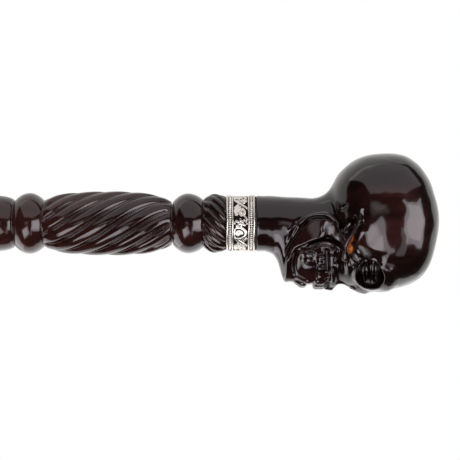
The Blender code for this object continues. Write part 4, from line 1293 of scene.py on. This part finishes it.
def panel(name, centre, aim, size, radiance, roll=0.0, diffuse=True):
    """A soft rectangular lamp, in metres, with the given brightness and its sides rolled by some degrees."""
    data = bpy.data.lights.new(name, "AREA")
    data.shape = "RECTANGLE"
    data.size, data.size_y = size
    data.color = LAMP_COLOUR
    data.energy = radiance * math.pi * size[0] * size[1]
    lamp = bpy.data.objects.new(name, data)
    bpy.context.scene.collection.objects.link(lamp)
    lamp.location = centre
    facing = (Vector(aim) - Vector(centre)).to_track_quat("-Z", "Y")
    lamp.rotation_euler = (facing @ Quaternion((0, 0, 1), math.radians(roll))).to_euler()
    lamp.visible_camera = False
    lamp.visible_diffuse = diffuse


def window(name, toward, distance, size, radiance, roll=0.0, diffuse=False):
    """A panel that faces the skull from the given direction and distance."""
    aim = Vector(SKULL_MIDDLE_M)
    panel(name, aim + distance * Vector(toward).normalized(), aim, size, radiance, roll, diffuse)


def world():
    """White for the camera and, behind the stick, for reflections. Soft grey light for the rest."""
    made = bpy.data.worlds.new("studio")
    bpy.context.scene.world = made
    n = Nodes(made)
    n.tree.nodes.clear()
    rays = n.add("ShaderNodeLightPath").outputs
    place = n.add("ShaderNodeTexCoord").outputs["Generated"]
    toward = n.vector_math("DOT_PRODUCT", place, BRIGHT_SIDE)
    glow = n.spread(toward, BRIGHT_FROM, BRIGHT_TO, DARK_SIDE_STRENGTH, BRIGHT_SIDE_STRENGTH)
    backgrounds = ((REFLECTED_WHITE, glow), (WHITE, DIFFUSE_STRENGTH), (WHITE, 1.0))
    reflected, plain, white = (
        n.add("ShaderNodeBackground", {"Color": colour, "Strength": strength}).outputs[0]
        for colour, strength in backgrounds
    )
    seen = n.math("MAXIMUM", rays["Is Glossy Ray"], rays["Is Transmission Ray"])
    lit = n.add("ShaderNodeMixShader", {0: seen, 1: plain, 2: reflected}).outputs[0]
    whole = n.add("ShaderNodeMixShader", {0: rays["Is Camera Ray"], 1: lit, 2: white}).outputs[0]
    n.add("ShaderNodeOutputWorld", {0: whole})


def lamps():
    panel("side_softbox", (-0.86, 0.75, 1.17), (-0.86, 0, 1.17), (1.98, 2.30), 1.0)
    window("window_low", (-0.82, -0.57, -0.27), 1.5, (0.95, 1.27), 3.0, roll=28, diffuse=True)
    window("window_low_middle", (-0.80, -0.55, -0.33), 1.45, (0.62, 0.80), 2.4, roll=28, diffuse=True)
    window("window_high", (-0.594, -0.142, 0.792), 1.3, (0.94, 1.20), 3.5, roll=-5)
    window("window_high_middle", (-0.594, -0.10, 0.80), 1.25, (0.62, 0.86), 2.0, roll=-5)
    window("window_high_side", (-0.889, -0.571, 0.451), 1.3, (0.74, 0.26), 1.2, roll=-15)
    window("window_front", (-0.985, 0.0, -0.15), 1.5, (0.36, 0.72), 0.5)
    window("window_front_middle", (-0.985, 0.02, -0.17), 1.45, (0.16, 0.45), 0.6)
    window("under_softbox", (0.34, -0.62, -0.86), 0.85, (0.55, 0.55), 1.8, diffuse=True)
    panel("back_softbox", (0.85, -0.95, 0.95), (0.0, 0.0, 0.9), (1.3, 1.5), 0.7)


# The pieces

def place_piece(obj, body, slot, node):
    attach(obj, body)
    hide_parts(node)


def build():
    skull_dark, skull_warm = (0.0032, 0.0008, 0.0007), (0.040, 0.0105, 0.0090)
    skull_wood = lacquered_wood("skull_lacquer", skull_dark, skull_warm, 0.04, bare=True)
    shaft_wood = lacquered_wood("shaft_lacquer", (0.005, 0.0014, 0.0012), (0.034, 0.009, 0.007), 0.0)
    silver = antique_silver("collar_antique_silver", 0.01182, 0.01200)
    rims = antique_silver("rim_antique_silver", 0.01196, 0.01222)
    fibre = matt("black_fibre", (0.012, 0.012, 0.012), (0.03, 0.028, 0.026), 0.7, 900, 0.00003)
    brass = plain_metal("insert_brass", (0.72, 0.50, 0.20), (0.60, 0.40, 0.15), 0.3)
    steel = plain_metal("stud_steel", (0.45, 0.45, 0.46), (0.60, 0.60, 0.61), 0.28)
    plated = plain_metal("washer_steel", (0.50, 0.50, 0.50), (0.62, 0.62, 0.60), 0.35)
    rubber = matt("tip_rubber", (0.012, 0.012, 0.012), (0.022, 0.022, 0.022), 0.72, 600, 0.00006)
    skull(skull_wood)
    foot = COLLAR_FOOT_Z + RIM_GAP
    upper_rim, lower_rim = rim_rings(COLLAR_TOP_Z - RIM_HEIGHT, True), rim_rings(foot, False)
    for name, rings, closed, material, body, slot, node in (
        ("turned_shaft", shaft_rings(), False, shaft_wood, "stick", "shaft_wood", "shaft"),
        ("scroll_band", collar_rings(foot), True, silver, "stick", "collar_silver", "collar_band"),
        ("pearl_rim_upper", upper_rim, True, rims, "stick", "rim_silver", "beaded_rim_upper"),
        ("pearl_rim_lower", lower_rim, True, rims, "stick", "rim_silver", "beaded_rim_lower"),
        ("stud_thread", stud_rings(), False, steel, "handle", "stud_steel", "handle_stud"),
        ("insert_thread", insert_rings(), True, brass, "stick", "insert_brass", "threaded_insert"),
        ("moulded_tip", tip_rings(), False, rubber, "stick", "tip_rubber", "rubber_tip"),
    ):
        place_piece(mesh_object(name, *skin(rings, closed), material), body, slot, node)
    bpy.data.meshes["moulded_tip"].set_sharp_from_angle(angle=math.radians(40))
    for node, material in (("seam_washer", fibre), ("tip_washer", plated)):
        frame["nodes"][node].data.materials.clear()
        frame["nodes"][node].data.materials.append(material)


camera()
floor()
world()
lamps()
build()

bpy.context.scene.view_settings.view_transform = "Standard"
